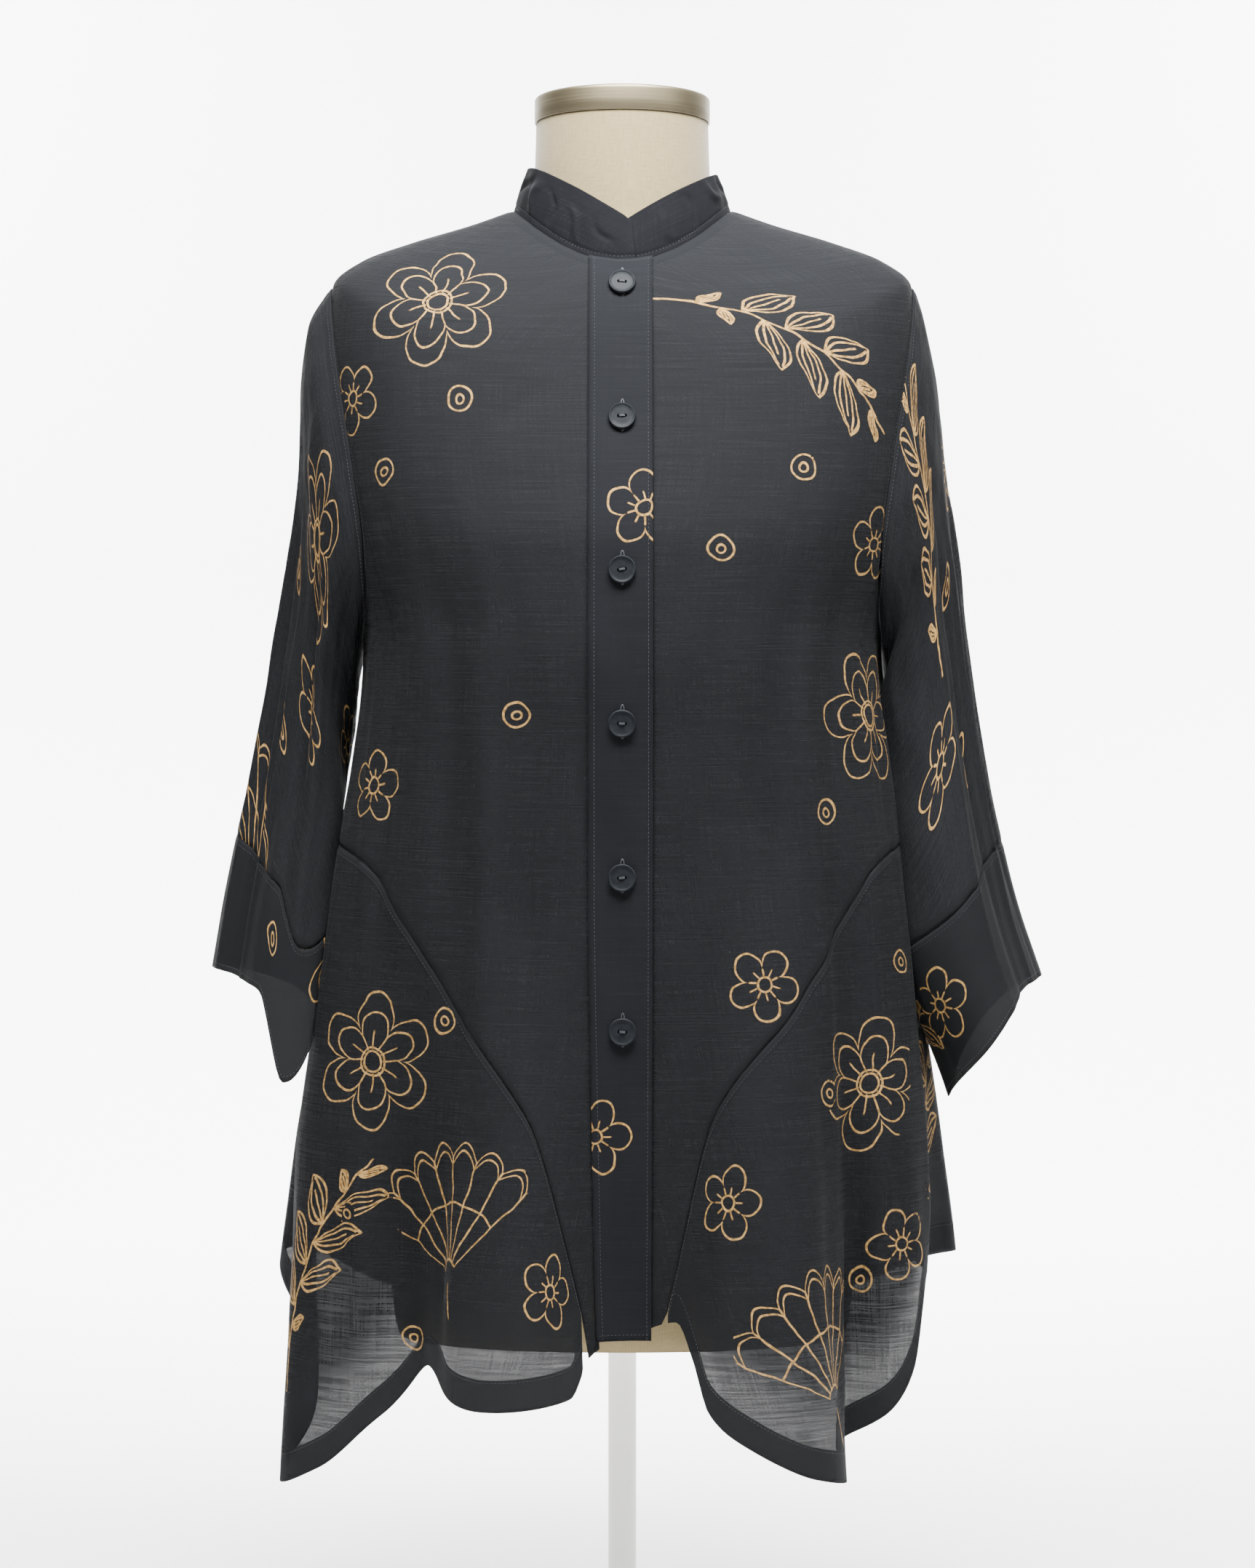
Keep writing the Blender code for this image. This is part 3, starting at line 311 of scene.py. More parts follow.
def armholeEdge(level, widest):
    # Degrees by which a panel stops short of the side line: the armhole's spread and half a seam's gap.
    gap = np.degrees(blouse["seamGap"] / 2 / ringValue(5, level))
    return armholeSpread(level, widest, blouse["underlap"]) + gap


def frontAngles():
    # Angles of the columns over a front's slanting seam, crowded towards the closing.
    start = blouse["frontSeamStart"]
    return start + (90.0 - start) * np.linspace(0, 1, blouse["frontColumns"]) ** blouse["crowding"]


def frontGrid(side):
    # Angle and level over an upper front: s runs from the closing to the side seam, t from the neckline down.
    start = blouse["frontSeamStart"]
    inner = abs(float(angleAtX(blouse["closingEdge"], hemHeight(side * start))))
    angles = np.concatenate([np.linspace(inner, start, 4)[:-1], frontAngles()])
    s = (angles - angles[0]) / (90.0 - angles[0])
    seam, halfGap = seamLine(blouse["frontSeam"], angles)
    lowest = np.where(angles < start - 0.001, hemHeight(side * angles), seam + halfGap)
    level = 1.0 + (lowest - 1.0) * rowShares()[:, None]
    closing = np.abs(angleAtX(blouse["closingEdge"], level[:, :1])) - angles[0]
    outer = armholeEdge(level[:, -1:], blouse["armholeFront"])
    return side * (angles + closing * (1 - s) - outer * s * s), level


def backGrid():
    # Angle and level over the back: s runs from its middle to either side seam, t from the neckline down.
    start = blouse["backSeamStart"]
    away = np.concatenate([[0.0, 3.0, 6.0, 9.0], np.linspace(start, 90.0, blouse["backColumns"])])
    s = away / 90.0
    seam, halfGap = seamLine(blouse["backSeam"], away)
    halves = []
    for side in (1, -1):
        lowest = np.where(away < start - 0.001, hemHeight(side * (180.0 - away)), seam + halfGap)
        level = 1.0 + (lowest - 1.0) * rowShares()[:, None]
        reach = away - armholeEdge(level[:, -1:], blouse["armholeBack"]) * s * s
        halves.append((180.0 - side * reach, level))
    return (np.concatenate([left[:, ::-1], right[:, 1:]], axis=1) for left, right in zip(*halves))


def flareGrid(side):
    # The flared lower panel under one arm: t runs from the slanting seams down to the hem.
    front, back = frontAngles(), np.linspace(blouse["backSeamStart"], 90.0, blouse["backColumns"])
    frontSeam, frontGap = seamLine(blouse["frontSeam"], front)
    backSeam, backGap = seamLine(blouse["backSeam"], back)
    angle = np.concatenate([front, (180.0 - back[:-1])[::-1]])
    top = np.concatenate([frontSeam - frontGap, (backSeam - backGap)[:-1][::-1]])
    bottom = np.minimum(hemHeight(side * angle), top - blouse["leastFlare"])
    angle[0] += blouse["flareInset"]
    angle[-1] -= blouse["flareInset"]
    level = top + (bottom - top) * np.linspace(0, 1, blouse["flareRows"] + 1)[:, None]
    return side * np.broadcast_to(angle, level.shape), level


def drapedGrid(angle, level, side=1):
    # Points, normals, angle and level of a panel, with its columns always counted the same way round.
    if side < 0:
        angle, level = angle[:, ::-1], level[:, ::-1]
    return (*drapedBody(angle, level), angle, level)


sleeves = {
    # along, outer x, outer z, inner x, inner z, half depth, centre y
    "Right": (
        (0, 0.205, 0.994, 0.183, 0.742, 0.076, 0), (0.08, 0.2215, 0.966, 0.186, 0.727, 0.073, 0.002),
        (0.18, 0.2275, 0.925, 0.1885, 0.708, 0.068, 0.006), (0.32, 0.231, 0.862, 0.1915, 0.68, 0.062, 0.011),
        (0.48, 0.2395, 0.8, 0.1965, 0.645, 0.058, 0.015), (0.64, 0.252, 0.725, 0.203, 0.604, 0.058, 0.018),
        (0.8, 0.268, 0.642, 0.21, 0.557, 0.062, 0.02), (0.92, 0.284, 0.568, 0.2155, 0.515, 0.066, 0.019),
        (1, 0.2935, 0.512, 0.219, 0.487, 0.069, 0.018),
    ),
    "Left": (
        (0, 0.205, 0.994, 0.183, 0.742, 0.076, 0), (0.08, 0.214, 0.966, 0.186, 0.727, 0.073, 0.002),
        (0.18, 0.223, 0.925, 0.1885, 0.708, 0.068, 0.006), (0.32, 0.2312, 0.862, 0.1915, 0.68, 0.062, 0.011),
        (0.48, 0.2395, 0.8, 0.1965, 0.645, 0.058, 0.015), (0.64, 0.2485, 0.725, 0.203, 0.6, 0.06, 0.018),
        (0.8, 0.2625, 0.642, 0.211, 0.542, 0.066, 0.018), (0.92, 0.283, 0.558, 0.2195, 0.476, 0.071, 0.016),
        (1, 0.3, 0.506, 0.231, 0.424, 0.074, 0.012),
    ),
    # turn, half turn, depth: big folds along a sleeve, turns counted from its outer line to the front
    "foldsRight": ((60, 30, -0.013), (112, 32, 0.01), (205, 32, -0.007), (300, 34, 0.007)),
    "foldsLeft": ((48, 30, -0.009), (104, 32, 0.009), (200, 32, -0.007), (295, 34, 0.008)),
    "foldedRadius": 0.045,  # depth that would double a sleeve's width
    # turn, spread to either side of it and drop: the tip that a cuff hangs to, and where its hem is lifted
    "hangsRight": ((105, 9.5, 24, 0.062),),
    "hangsLeft": ((172, 40, 40, 0.005), (72, 32, 30, -0.013), (290, 36, 36, -0.006)),
    "hangStart": 0.45,
    # turn, spread, reach inwards in metres, from and to which share of the length: where a sleeve laps the body's side
    "lapRight": (126, 30, 0.014, 0.4, 0.7, 1.2, 1.6),
    "lapLeft": (138, 34, 0.024, 0.12, 0.44, 0.84, 1.05),
    "cuffStart": 0.86,
    "settle": 0.30,  # share of the length in which a sleeve leaves the armhole's shape
    "rows": 150,
    "cuffRows": 34,
    "columns": 192,
    "firstTurn": -135.0,  # where the columns start, behind the arm, so that no drawing is cut in sight
    "creaseRadius": 0.075,
    "cuffGap": 0.0003,
    "seamDip": 0.0005,
    # soft creases: from turn, from along, to turn, to along, width in metres, depth in metres
    "creasesRight": (
        (26, 0.22, 24, 0.98, 0.005, 0.0026), (40, 0.3, 42, 0.99, 0.006, -0.0034),
        (62, 0.4, 66, 0.99, 0.0052, 0.0032), (86, 0.26, 91, 0.97, 0.0066, -0.0056),
        (101, 0.12, 105, 0.97, 0.0058, 0.0044), (118, 0.04, 126, 0.5, 0.0042, -0.0022),
        (130, 0.02, 150, 0.34, 0.0034, 0.0018), (142, 0.02, 166, 0.22, 0.003, -0.0018),
        (74, 0.02, 98, 0.26, 0.0048, -0.0014), (52, 0.02, 66, 0.3, 0.006, 0.0012),
        (12, 0.34, 10, 0.9, 0.0048, -0.0018), (212, 0.04, 200, 0.5, 0.0042, -0.002),
        (238, 0.1, 236, 0.8, 0.006, 0.0024), (268, 0.2, 270, 0.98, 0.006, -0.0028),
        (300, 0.26, 302, 0.99, 0.0062, 0.0026), (332, 0.2, 334, 0.92, 0.0056, -0.002),
    ),
    "creasesLeft": (
        (22, 0.2, 20, 0.96, 0.005, -0.0022), (38, 0.3, 36, 0.99, 0.0056, 0.003),
        (58, 0.26, 60, 0.99, 0.006, -0.0032), (78, 0.38, 79, 0.98, 0.0052, 0.0028),
        (96, 0.12, 94, 0.84, 0.0056, -0.0024), (112, 0.06, 118, 0.6, 0.0044, 0.002),
        (124, 0.03, 140, 0.42, 0.0036, -0.002), (138, 0.02, 158, 0.26, 0.003, 0.0018),
        (70, 0.02, 92, 0.24, 0.0048, 0.0014), (50, 0.02, 62, 0.3, 0.0056, -0.0012),
        (8, 0.3, 6, 0.88, 0.0048, 0.0018), (214, 0.04, 204, 0.46, 0.0042, 0.002),
        (240, 0.12, 238, 0.84, 0.006, -0.0024), (270, 0.22, 268, 0.98, 0.006, 0.0028),
        (298, 0.24, 300, 0.99, 0.0062, -0.0026), (328, 0.22, 330, 0.94, 0.0056, 0.002),
    ),
}


def armholeRing(side):
    # The armhole's edge, read at even steps of its own turn: outer line, front, inner line, back.
    turn = sleeves["firstTurn"] + np.linspace(0, 360, sleeves["columns"], endpoint=False)
    top, bottom = blouse["armholeTop"], blouse["armholeBottom"]
    level = (top + bottom) / 2 + (top - bottom) / 2 * np.cos(np.radians(turn))
    toFront = 90.0 - armholeSpread(level, blouse["armholeFront"])
    toBack = 90.0 + armholeSpread(level, blouse["armholeBack"])
    return side * np.where(np.sin(np.radians(turn)) >= 0, toFront, toBack), level, turn


def sleeveRing(outerX, outerZ, innerX, innerZ, halfDepth, centreY, turn, swell=1.0):
    # A tilted ellipse: the cosine runs from the inner to the outer line, the sine to the front; swell widens it.
    bend, reach = np.cos(np.radians(turn)), np.sin(np.radians(turn))
    x = (outerX + innerX) / 2 + (outerX - innerX) / 2 * bend * swell
    z = (outerZ + innerZ) / 2 + (outerZ - innerZ) / 2 * bend
    return np.stack(np.broadcast_arrays(x, centreY - halfDepth * reach * swell, z), axis=-1)


def sleeveSurface(side, word, along, turn, edge):
    # Rings between the outer and inner lines, swelled by folds, hung to a point, settled from the armhole.
    folded = 0.0
    for centre, halfTurn, depth in sleeves["folds" + word]:
        grown = np.clip(along / 0.9, 0, 1) ** 1.3
        folded = folded + depth * bell(turnBetween(turn, centre) / halfTurn) * grown
    measures = (readTable(sleeves[word], along, place) for place in range(1, 7))
    points = sleeveRing(*measures, turn, 1 + folded / sleeves["foldedRadius"])
    start = sleeves["hangStart"]
    for centre, before, behind, drop in sleeves["hangs" + word]:
        away = turnBetween(turn, centre)
        hang = bell(away / np.where(away < 0, before, behind))
        points[..., 2] -= drop * hang * np.clip((along - start) / (1 - start), 0, 1) ** 2
    centre, spread, inwards, rising, risen, falling, fallen = sleeves["lap" + word]
    lap = smoothStep(rising, risen, along) * (1 - smoothStep(falling, fallen, along))
    points[..., 0] -= inwards * lap * bell(turnBetween(turn, centre) / spread)
    first = sleeveRing(*sleeves[word][0][1:], turn)
    kept = 1 - smoothStep(0, 1, np.clip(along / sleeves["settle"], 0, 1))
    mirror = np.array([side, 1, 1])
    return points * mirror + (edge - first * mirror) * kept[..., None]


def sleeveGrid(side, word):
    # Middle surface and outward normals of one sleeve, hem rows last; creases as bells in turn and length.
    angle, level, turn = armholeRing(side)
    edge = body(angle, level) + bodyNormal(angle, level) * blouse["sleeveLift"]
    cuff = np.linspace(sleeves["cuffStart"], 1, sleeves["cuffRows"])[1:]
    along = np.concatenate([np.linspace(0, sleeves["cuffStart"], sleeves["rows"]), cuff])[:, None]
    points = sleeveSurface(side, word, along, turn[None, :], edge[None])
    roundIt = np.roll(points, -1, axis=1) - np.roll(points, 1, axis=1)
    normals = unit(np.cross(np.gradient(points, axis=0), roundIt)) * -side
    height = np.zeros(points.shape[:2])
    for fromTurn, fromAlong, toTurn, toAlong, width, depth in sleeves["creases" + word]:
        share = (along - fromAlong) / (toAlong - fromAlong)
        centre = fromTurn + (toTurn - fromTurn) * share + 2.0 * np.sin(share * 6.0 + fromTurn)
        away = np.radians(turnBetween(turn[None, :], centre)) * sleeves["creaseRadius"]
        runsOn = toAlong > 0.95
        last = 1 - 0.6 * smoothStep(0.78, 0.95, along) if runsOn else 1 - smoothStep(0.6, 1.1, share)
        height = height + depth * bell(away / width) * smoothStep(-0.1, 0.35, share) * last
    turned = np.radians(turn)
    wave = np.sin(turned * 9 + along * 8) * np.sin(along * 23 + 0.8)
    wave = wave + 0.6 * np.sin(turned * 17 - along * 13) * np.sin(along * 37 + 2.0)
    gather = np.sin(turned * 36 + 2.4 * np.sin(turned * 5)) * np.exp(-along / 0.035)
    calm = smoothStep(0, 0.08, along) * (1 - smoothStep(0.80, 0.95, along))
    height = height + 0.0005 * wave * calm + 0.0004 * gather * smoothStep(0, 0.012, along)
    return points + normals * height[..., None], normals, *np.broadcast_arrays(turn, along)


def gridFaces(index):
    # Four corners of every cell of an index grid: down, across, up and back.
    return np.stack([index[:-1, :-1], index[1:, :-1], index[1:, 1:], index[:-1, 1:]], axis=-1).reshape(-1, 4)


def wallFaces(index, under, closed):
    # Faces of a thin closed wall: outer grid, inner grid turned over, and a strip along each open edge.
    outer = gridFaces(index)
    parts = [outer, outer[:, ::-1] + under]
    rims = [(index[0, :-1], index[0, 1:]), (index[-1, 1:], index[-1, :-1])]
    if not closed:
        rims += [(index[1:, 0], index[:-1, 0]), (index[:-1, -1], index[1:, -1])]
    for first, second in rims:
        parts.append(np.stack([first, second, second + under, first + under], axis=-1))
    return np.concatenate(parts)


def addObject(name, data):
    # An object for some data, linked into the scene.
    made = bpy.data.objects.new(name, data)
    bpy.context.scene.collection.objects.link(made)
    return made


def fill(items, word, values, kind=np.float32):
    # A whole array written into one property of a mesh's items.
    items.foreach_set(word, np.asarray(values, kind).ravel())


def meshPiece(name, vertices, faces, material, flat=None, flatFaces=None, extra=None, lining=None, lined=None,
              drawn=None):
    # One mesh from whole arrays: places, faces of one corner count, flat coordinates and point attributes.
    # Faces whose lined value is 1 take the lining material; drawn holds the corners' places on their drawing.
    mesh = bpy.data.meshes.new(name)
    corners = faces.shape[1]
    mesh.vertices.add(len(vertices))
    mesh.loops.add(faces.size)
    mesh.polygons.add(len(faces))
    fill(mesh.vertices, "co", vertices)
    fill(mesh.loops, "vertex_index", faces, np.int32)
    fill(mesh.polygons, "loop_start", np.arange(0, faces.size, corners), np.int32)
    fill(mesh.polygons, "loop_total", np.full(len(faces), corners), np.int32)
    fill(mesh.polygons, "use_smooth", np.ones(len(faces)), bool)
    mesh.update(calc_edges=True)
    if flat is not None:
        fill(mesh.uv_layers.new(name="cloth").data, "uv", flat[flatFaces.ravel()])
    if drawn is not None:
        fill(mesh.uv_layers.new(name="drawing").data, "uv", drawn)
    for word, values in (extra or {}).items():
        fill(mesh.attributes.new(word, "FLOAT", "POINT").data, "value", values)
    mesh.validate()
    piece = addObject(name, mesh)
    mesh.materials.append(material)
    if lining is not None:
        mesh.materials.append(lining)
        fill(mesh.polygons, "material_index", lined, np.int32)
    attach(piece, "root")
    return piece


def clothLengths(points, fromColumn=0):
    # Arc lengths in metres over a grid: across each row from one column, and down each column from the top.
    across = runAlong(points, 1)
    return across - across[:, fromColumn : fromColumn + 1], runAlong(points, 0)


chartAngles = np.linspace(-200.0, 290.0, 246)
chartLevels = np.linspace(1.0, 0.12, 221)
chartRound, chartDown = clothLengths(body(chartAngles[None], chartLevels[:, None]))


def readChart(chart, angle, level):
    # Bilinear reading of a table over angle and level.
    column = np.clip((angle - chartAngles[0]) / (chartAngles[1] - chartAngles[0]), 0, len(chartAngles) - 1.001)
    row = np.clip((level - chartLevels[0]) / (chartLevels[1] - chartLevels[0]), 0, len(chartLevels) - 1.001)
    c, r = column.astype(int), row.astype(int)
    x, y = column - c, row - r
    upper = chart[r, c] * (1 - x) + chart[r, c + 1] * x
    lower = chart[r + 1, c] * (1 - x) + chart[r + 1, c + 1] * x
    return upper * (1 - y) + lower * y


def flatPlaces(across, down, shift=(0, 0)):
    # Flat coordinates from lengths across and down, set off to the piece's own place on the print.
    return np.stack([across + shift[0], shift[1] - down], axis=-1).reshape(-1, 2)


def bodyFlat(angle, level, centre, shift):
    # Flat place of body cloth: arc length round its ring from the panel's middle, and arc length from a level ring.
    across = readChart(chartRound, angle, level) - readChart(chartRound, np.full_like(level, centre), level)
    down = readChart(chartDown, angle, level) - readChart(chartDown, angle, np.full_like(level, blouse["levelRing"]))
    return flatPlaces(across, down, shift)


drawings = {
    # number and radius of each kind; a drawing's place is stored beside its number in the flat coordinates
    "kinds": {"bough": (0, 0.092), "bloom": (1, 0.050), "flower": (2, 0.027), "rings": (3, 0.011), "fan": (4, 0.066)},
    "reach": 1.10,  # of a kind's radius, as far as a face belongs to it
    "nearby": 0.13,  # metres from its middle, past which a drawing isn't seen square on
    "outside": 5.0,  # place of what no drawing reaches
    "leafLength": 0.038,
    "leafSpacing": 0.031,
    "fanHalfTurn": 0.95,
    "fanRibs": 7,
    "bloomPetals": 6,
    "flowerPetals": 5,
    "wobble": 0.0042,
    "wobbleScale": 55.0,
}


def drawingPlaces(flatFaces, placed):
    # For every face, its corners measured from the middle of the nearest drawing that reaches it, turned with it.
    place = np.full((*flatFaces.shape, 2), -drawings["outside"])
    nearest = np.full(len(flatFaces), drawings["reach"])
    for word, local, lean in placed:
        number, radius = drawings["kinds"][word]
        away = local[flatFaces]
        reach = np.linalg.norm(away.mean(axis=1), axis=1) / radius
        chosen = reach < nearest
        x, y = away[chosen][..., 0], away[chosen][..., 1]
        cosine, sine = math.cos(math.radians(lean)), math.sin(math.radians(lean))
        place[chosen] = np.stack([x * cosine + y * sine + number, y * cosine - x * sine], axis=-1)
        nearest[chosen] = reach[chosen]
    return place


def marksAt(wanted, across, down, scale, flat, points=None, normals=None):
    # The cloth's places measured from each drawing's middle, which is the grid point nearest to its stated place.
    # With points given they are seen square on to the cloth there; otherwise they are flat coordinates, less how far
    # the drawing's own column has drifted sideways at every row.
    grid = flat.reshape(*across.shape, 2)
    found = []
    for word, first, second, lean in wanted:
        away = ((across - first) * scale[0]) ** 2 + ((down - second) * scale[1]) ** 2
        row, column = np.unravel_index(np.argmin(away), away.shape)
        if points is None:
            local = grid - grid[row, column]
            local[..., 0] -= (grid[:, column, 0] - grid[row, column, 0])[:, None]
        else:
            level = unit(np.cross([0, 0, 1], normals[row, column]))
            away = points - points[row, column]
            local = np.stack([away @ level, away @ np.cross(normals[row, column], level)], axis=-1)
            tooFar = np.linalg.norm(away, axis=-1) > drawings["nearby"]
            local = np.where(tooFar[..., None], drawings["outside"], local)
        found.append((word, local.reshape(-1, 2), lean))
    return found


def clothPiece(name, points, normals, material, flat, placed=(), thickness=blouse["wall"], hem=None, seam=None,
               closed=False, lining=None):
    # A thin wall round a grid, joined round if it is closed; its attributes are distances to hem and seam.
    rows, columns = points.shape[:2]
    index = np.arange(rows * columns).reshape(rows, columns)
    index = wrapped(index) if closed else index
    faces = wallFaces(index, rows * columns, closed)
    flatFaces = wallFaces(np.arange(len(flat)).reshape(rows, -1), 0, closed)
    offset = normals * thickness / 2
    vertices = np.concatenate([(points + offset).reshape(-1, 3), (points - offset).reshape(-1, 3)])
    far = np.full((rows, columns), 1.0)
    distances = {"hem": far if hem is None else hem, "seam": far if seam is None else seam}
    extra = {word: np.tile(values.ravel(), 2) for word, values in distances.items()}
    cells = len(gridFaces(index))
    lined = np.zeros(len(faces))
    lined[cells : 2 * cells] = 1
    drawn = drawingPlaces(flatFaces, placed)
    return meshPiece(name, vertices, faces, material, flat, flatFaces, extra, lining, lined, drawn)


def mathMethod(operation, turned=False):
    # A method that adds a Math node of two values; a turned one puts the other value first.
    def method(self, other):
        values = (other, self) if turned else (self, other)
        return self.graph.add("ShaderNodeMath", {"operation": operation}, values)
    return method


class Value:
    # One socket of a material; arithmetic on it adds Math nodes.
    def __init__(self, graph, socket):
        self.graph, self.socket = graph, socket

    __add__ = __radd__ = mathMethod("ADD")
    __mul__ = __rmul__ = mathMethod("MULTIPLY")
    __sub__, __rsub__ = mathMethod("SUBTRACT"), mathMethod("SUBTRACT", True)
    __truediv__, __rtruediv__ = mathMethod("DIVIDE"), mathMethod("DIVIDE", True)

    def math(self, operation, *others):
        # A Math node of this value and any others.
        return self.graph.add("ShaderNodeMath", {"operation": operation}, (self, *others))

    def ramp(self, low, high):
        # 0 below low, 1 above high, eased between them.
        settings = {"interpolation_type": "SMOOTHSTEP"}
        return self.graph.add("ShaderNodeMapRange", settings, {0: self, 1: low, 2: high, 3: 0.0, 4: 1.0})


class Graph:
    # One material; every node comes from add, and its principled shader's sockets are set by name.
    def __init__(self, name, constants):
        self.material = bpy.data.materials.new(name)
        self.material.use_nodes = True
        self.tree = self.material.node_tree
        self.shader = self.tree.nodes["Principled BSDF"]
        for word, value in constants.items():
            self.into(word, value)

    def plug(self, value, socket):
        # A link from a value, or a plain number or colour set on the socket.
        if isinstance(value, Value):
            self.tree.links.new(value.socket, socket)
        else:
            socket.default_value = value

    def add(self, kind, settings, values=(), out=0):
        # One node with its settings and inputs, by place or name, and the output that stands for it.
        node = self.tree.nodes.new(kind)
        for word, setting in settings.items():
            setattr(node, word, setting)
        pairs = values.items() if isinstance(values, dict) else enumerate(values)
        for key, value in pairs:
            self.plug(value, node.inputs[key])
        return Value(self, node.outputs[out])

    def mix(self, share, first, second):
        # Two colours: the first where share is 0, the second where it is 1.
        return self.add("ShaderNodeMix", {"data_type": "RGBA"}, {0: share, 6: first, 7: second}, 2)

    def vector(self, x, y, z=0.0):
        # Three values as one vector.
        return self.add("ShaderNodeCombineXYZ", {}, (x, y, z))

    def parts(self, vector):
        # The three values of a vector.
        node = self.add("ShaderNodeSeparateXYZ", {}, (vector,)).socket.node
        return [Value(self, node.outputs[k]) for k in range(3)]

    def noise(self, vector, detail, roughness, scale=1.0, dimensions="3D"):
        # Noise between 0 and 1, with scale grains per unit of the vector.
        values = {"Vector": vector, "Scale": scale, "Detail": detail, "Roughness": roughness}
        return self.add("ShaderNodeTexNoise", {"noise_dimensions": dimensions}, values)

    def grain(self, u, v, across, along, detail, roughness):
        # Flat noise with its own number of grains per metre each way.
        return self.noise(self.vector(u * across, v * along), detail, roughness, dimensions="2D")

    def attribute(self, word):
        # A value stored at the mesh's points.
        return self.add("ShaderNodeAttribute", {"attribute_name": word}, (), 2)

    def bump(self, height, distance, strength):
        # A normal tilted by the slope of height times distance.
        return self.add("ShaderNodeBump", {}, {"Strength": strength, "Distance": distance, "Height": height})

    def into(self, word, value):
        # A value fed to one input of the shader.
        self.plug(value, self.shader.inputs[word])


print("helpers ready")

clothLook = {
    "colour": (0.0090, 0.0094, 0.0105, 1),
    "darkThread": (0.0066, 0.0071, 0.0078, 1),
    "paleThread": (0.0128, 0.0135, 0.0144, 1),
    "bandColour": (0.0080, 0.0085, 0.0099, 1),
    # painted shade: the collar's ground is darker than the body cloth's so that the collar under the near top lamp
    # looks less lit
    "collarShadedColour": (0.0050, 0.0052, 0.0064, 1),
    "collarPale": (0.0125, 0.0124, 0.0148, 1),
    "roughness": 0.85,
    "sheen": 0.012,
    "specular": 0.03,
    # grains per metre across and along, detail, roughness
    "slub": (17.0, 860.0, 2.0, 0.55),
    "warp": (900.0, 20.0, 1.0, 0.5),
    "worn": (420.0, 420.0, 0.0, 0.6),
    "slubShare": 0.66,
    "bandAlpha": 0.97,
    "alpha": 0.945,  # of each of the wall's two faces
    "sheerAlpha": 0.855,  # near a hem
    "sheerFrom": 0.026,  # distances from the hem between which the cloth thins out
    "sheerTo": 0.080,
    "hemAlpha": 0.96,
    "hemDeep": 0.021,
    "seamDeep": 0.0075,
    "foldEdge": 0.0008,  # over which a doubled strip begins
    "gold": (0.222, 0.127, 0.040, 1),
    "goldPale": (0.310, 0.190, 0.070, 1),
    "lineWidth": 0.0014,
}


def lineAt(distance, width):
    # 1 within half a line's width of zero distance, eased over a third of it.
    return 1.0 - distance.math("ABSOLUTE").ramp(width * 0.40, width * 0.62)


def reachOf(x, y):
    # Distance from the middle: the root of the squares' sum.
    return (x * x + y * y).math("SQRT")


def highest(first, *others):
    # The largest of several values.
    for other in others:
        first = first.math("MAXIMUM", other)
    return first


def leafBough(x, y, radius, line):
    # A bent stem with lens-shaped leaves set off to both sides, slanted forwards.
    spacing = drawings["leafSpacing"]
    bent = y + x * x * 2.4
    side = bent.math("ABSOLUTE")
    left = bent.math("GREATER_THAN", 0.0)
    slid = (x - side * 0.9 + left * (spacing / 2)) / spacing
    across = (slid.math("FRACT") - 0.5).math("ABSOLUTE") * (spacing * 0.74)
    root = slid.math("FLOOR") * spacing
    reach = highest(radius * 0.92 - root.math("ABSOLUTE"), 0.0) * 0.72
    leaf = reach.math("MINIMUM", drawings["leafLength"])
    along = side * 1.345
    share = (along / highest(leaf, 0.001)).math("MINIMUM", 1.0)
    belly = (share * math.pi).math("SINE") * leaf * 0.235
    outline = lineAt(across - belly, line) * (leaf - along).ramp(-0.0006, 0.0004)
    inner = lineAt(across - belly * 0.52, line) * (leaf * 0.92 - along).ramp(0.0, 0.0006)
    vein = highest(inner, lineAt(across, line * 0.8) * (leaf * 0.72 - along).ramp(0.0, 0.0006))
    inside = (leaf - 0.007).ramp(0.0, 0.0005)
    stem = lineAt(side, line) * (radius - x.math("ABSOLUTE")).ramp(0.0, 0.001)
    return highest(outline * inside, vein * inside, stem)


def blossom(x, y, radius, line, petals):
    # Petal outline r = R (0.52 + 0.46 |cos(n t / 2)| ^ 0.72), an inner ring and short filaments.
    reach = reachOf(x, y)
    turn = y.math("ARCTAN2", x)
    lobe = (turn * petals * 0.5).math("COSINE").math("ABSOLUTE").math("POWER", 0.72)
    edge = radius * (lobe * 0.46 + 0.52)
    steep = 1.0 + (1.0 - lobe) * 0.9
    outline = lineAt((reach - edge) / steep, line)
    ring = lineAt(reach - radius * 0.20, line)
    spoke = (turn * petals).math("SINE") * reach / petals
    share = reach / radius
    filament = lineAt(spoke, line * 0.8) * share.ramp(0.22, 0.26) * (1.0 - share.ramp(0.40, 0.46))
    return highest(outline, ring, filament)


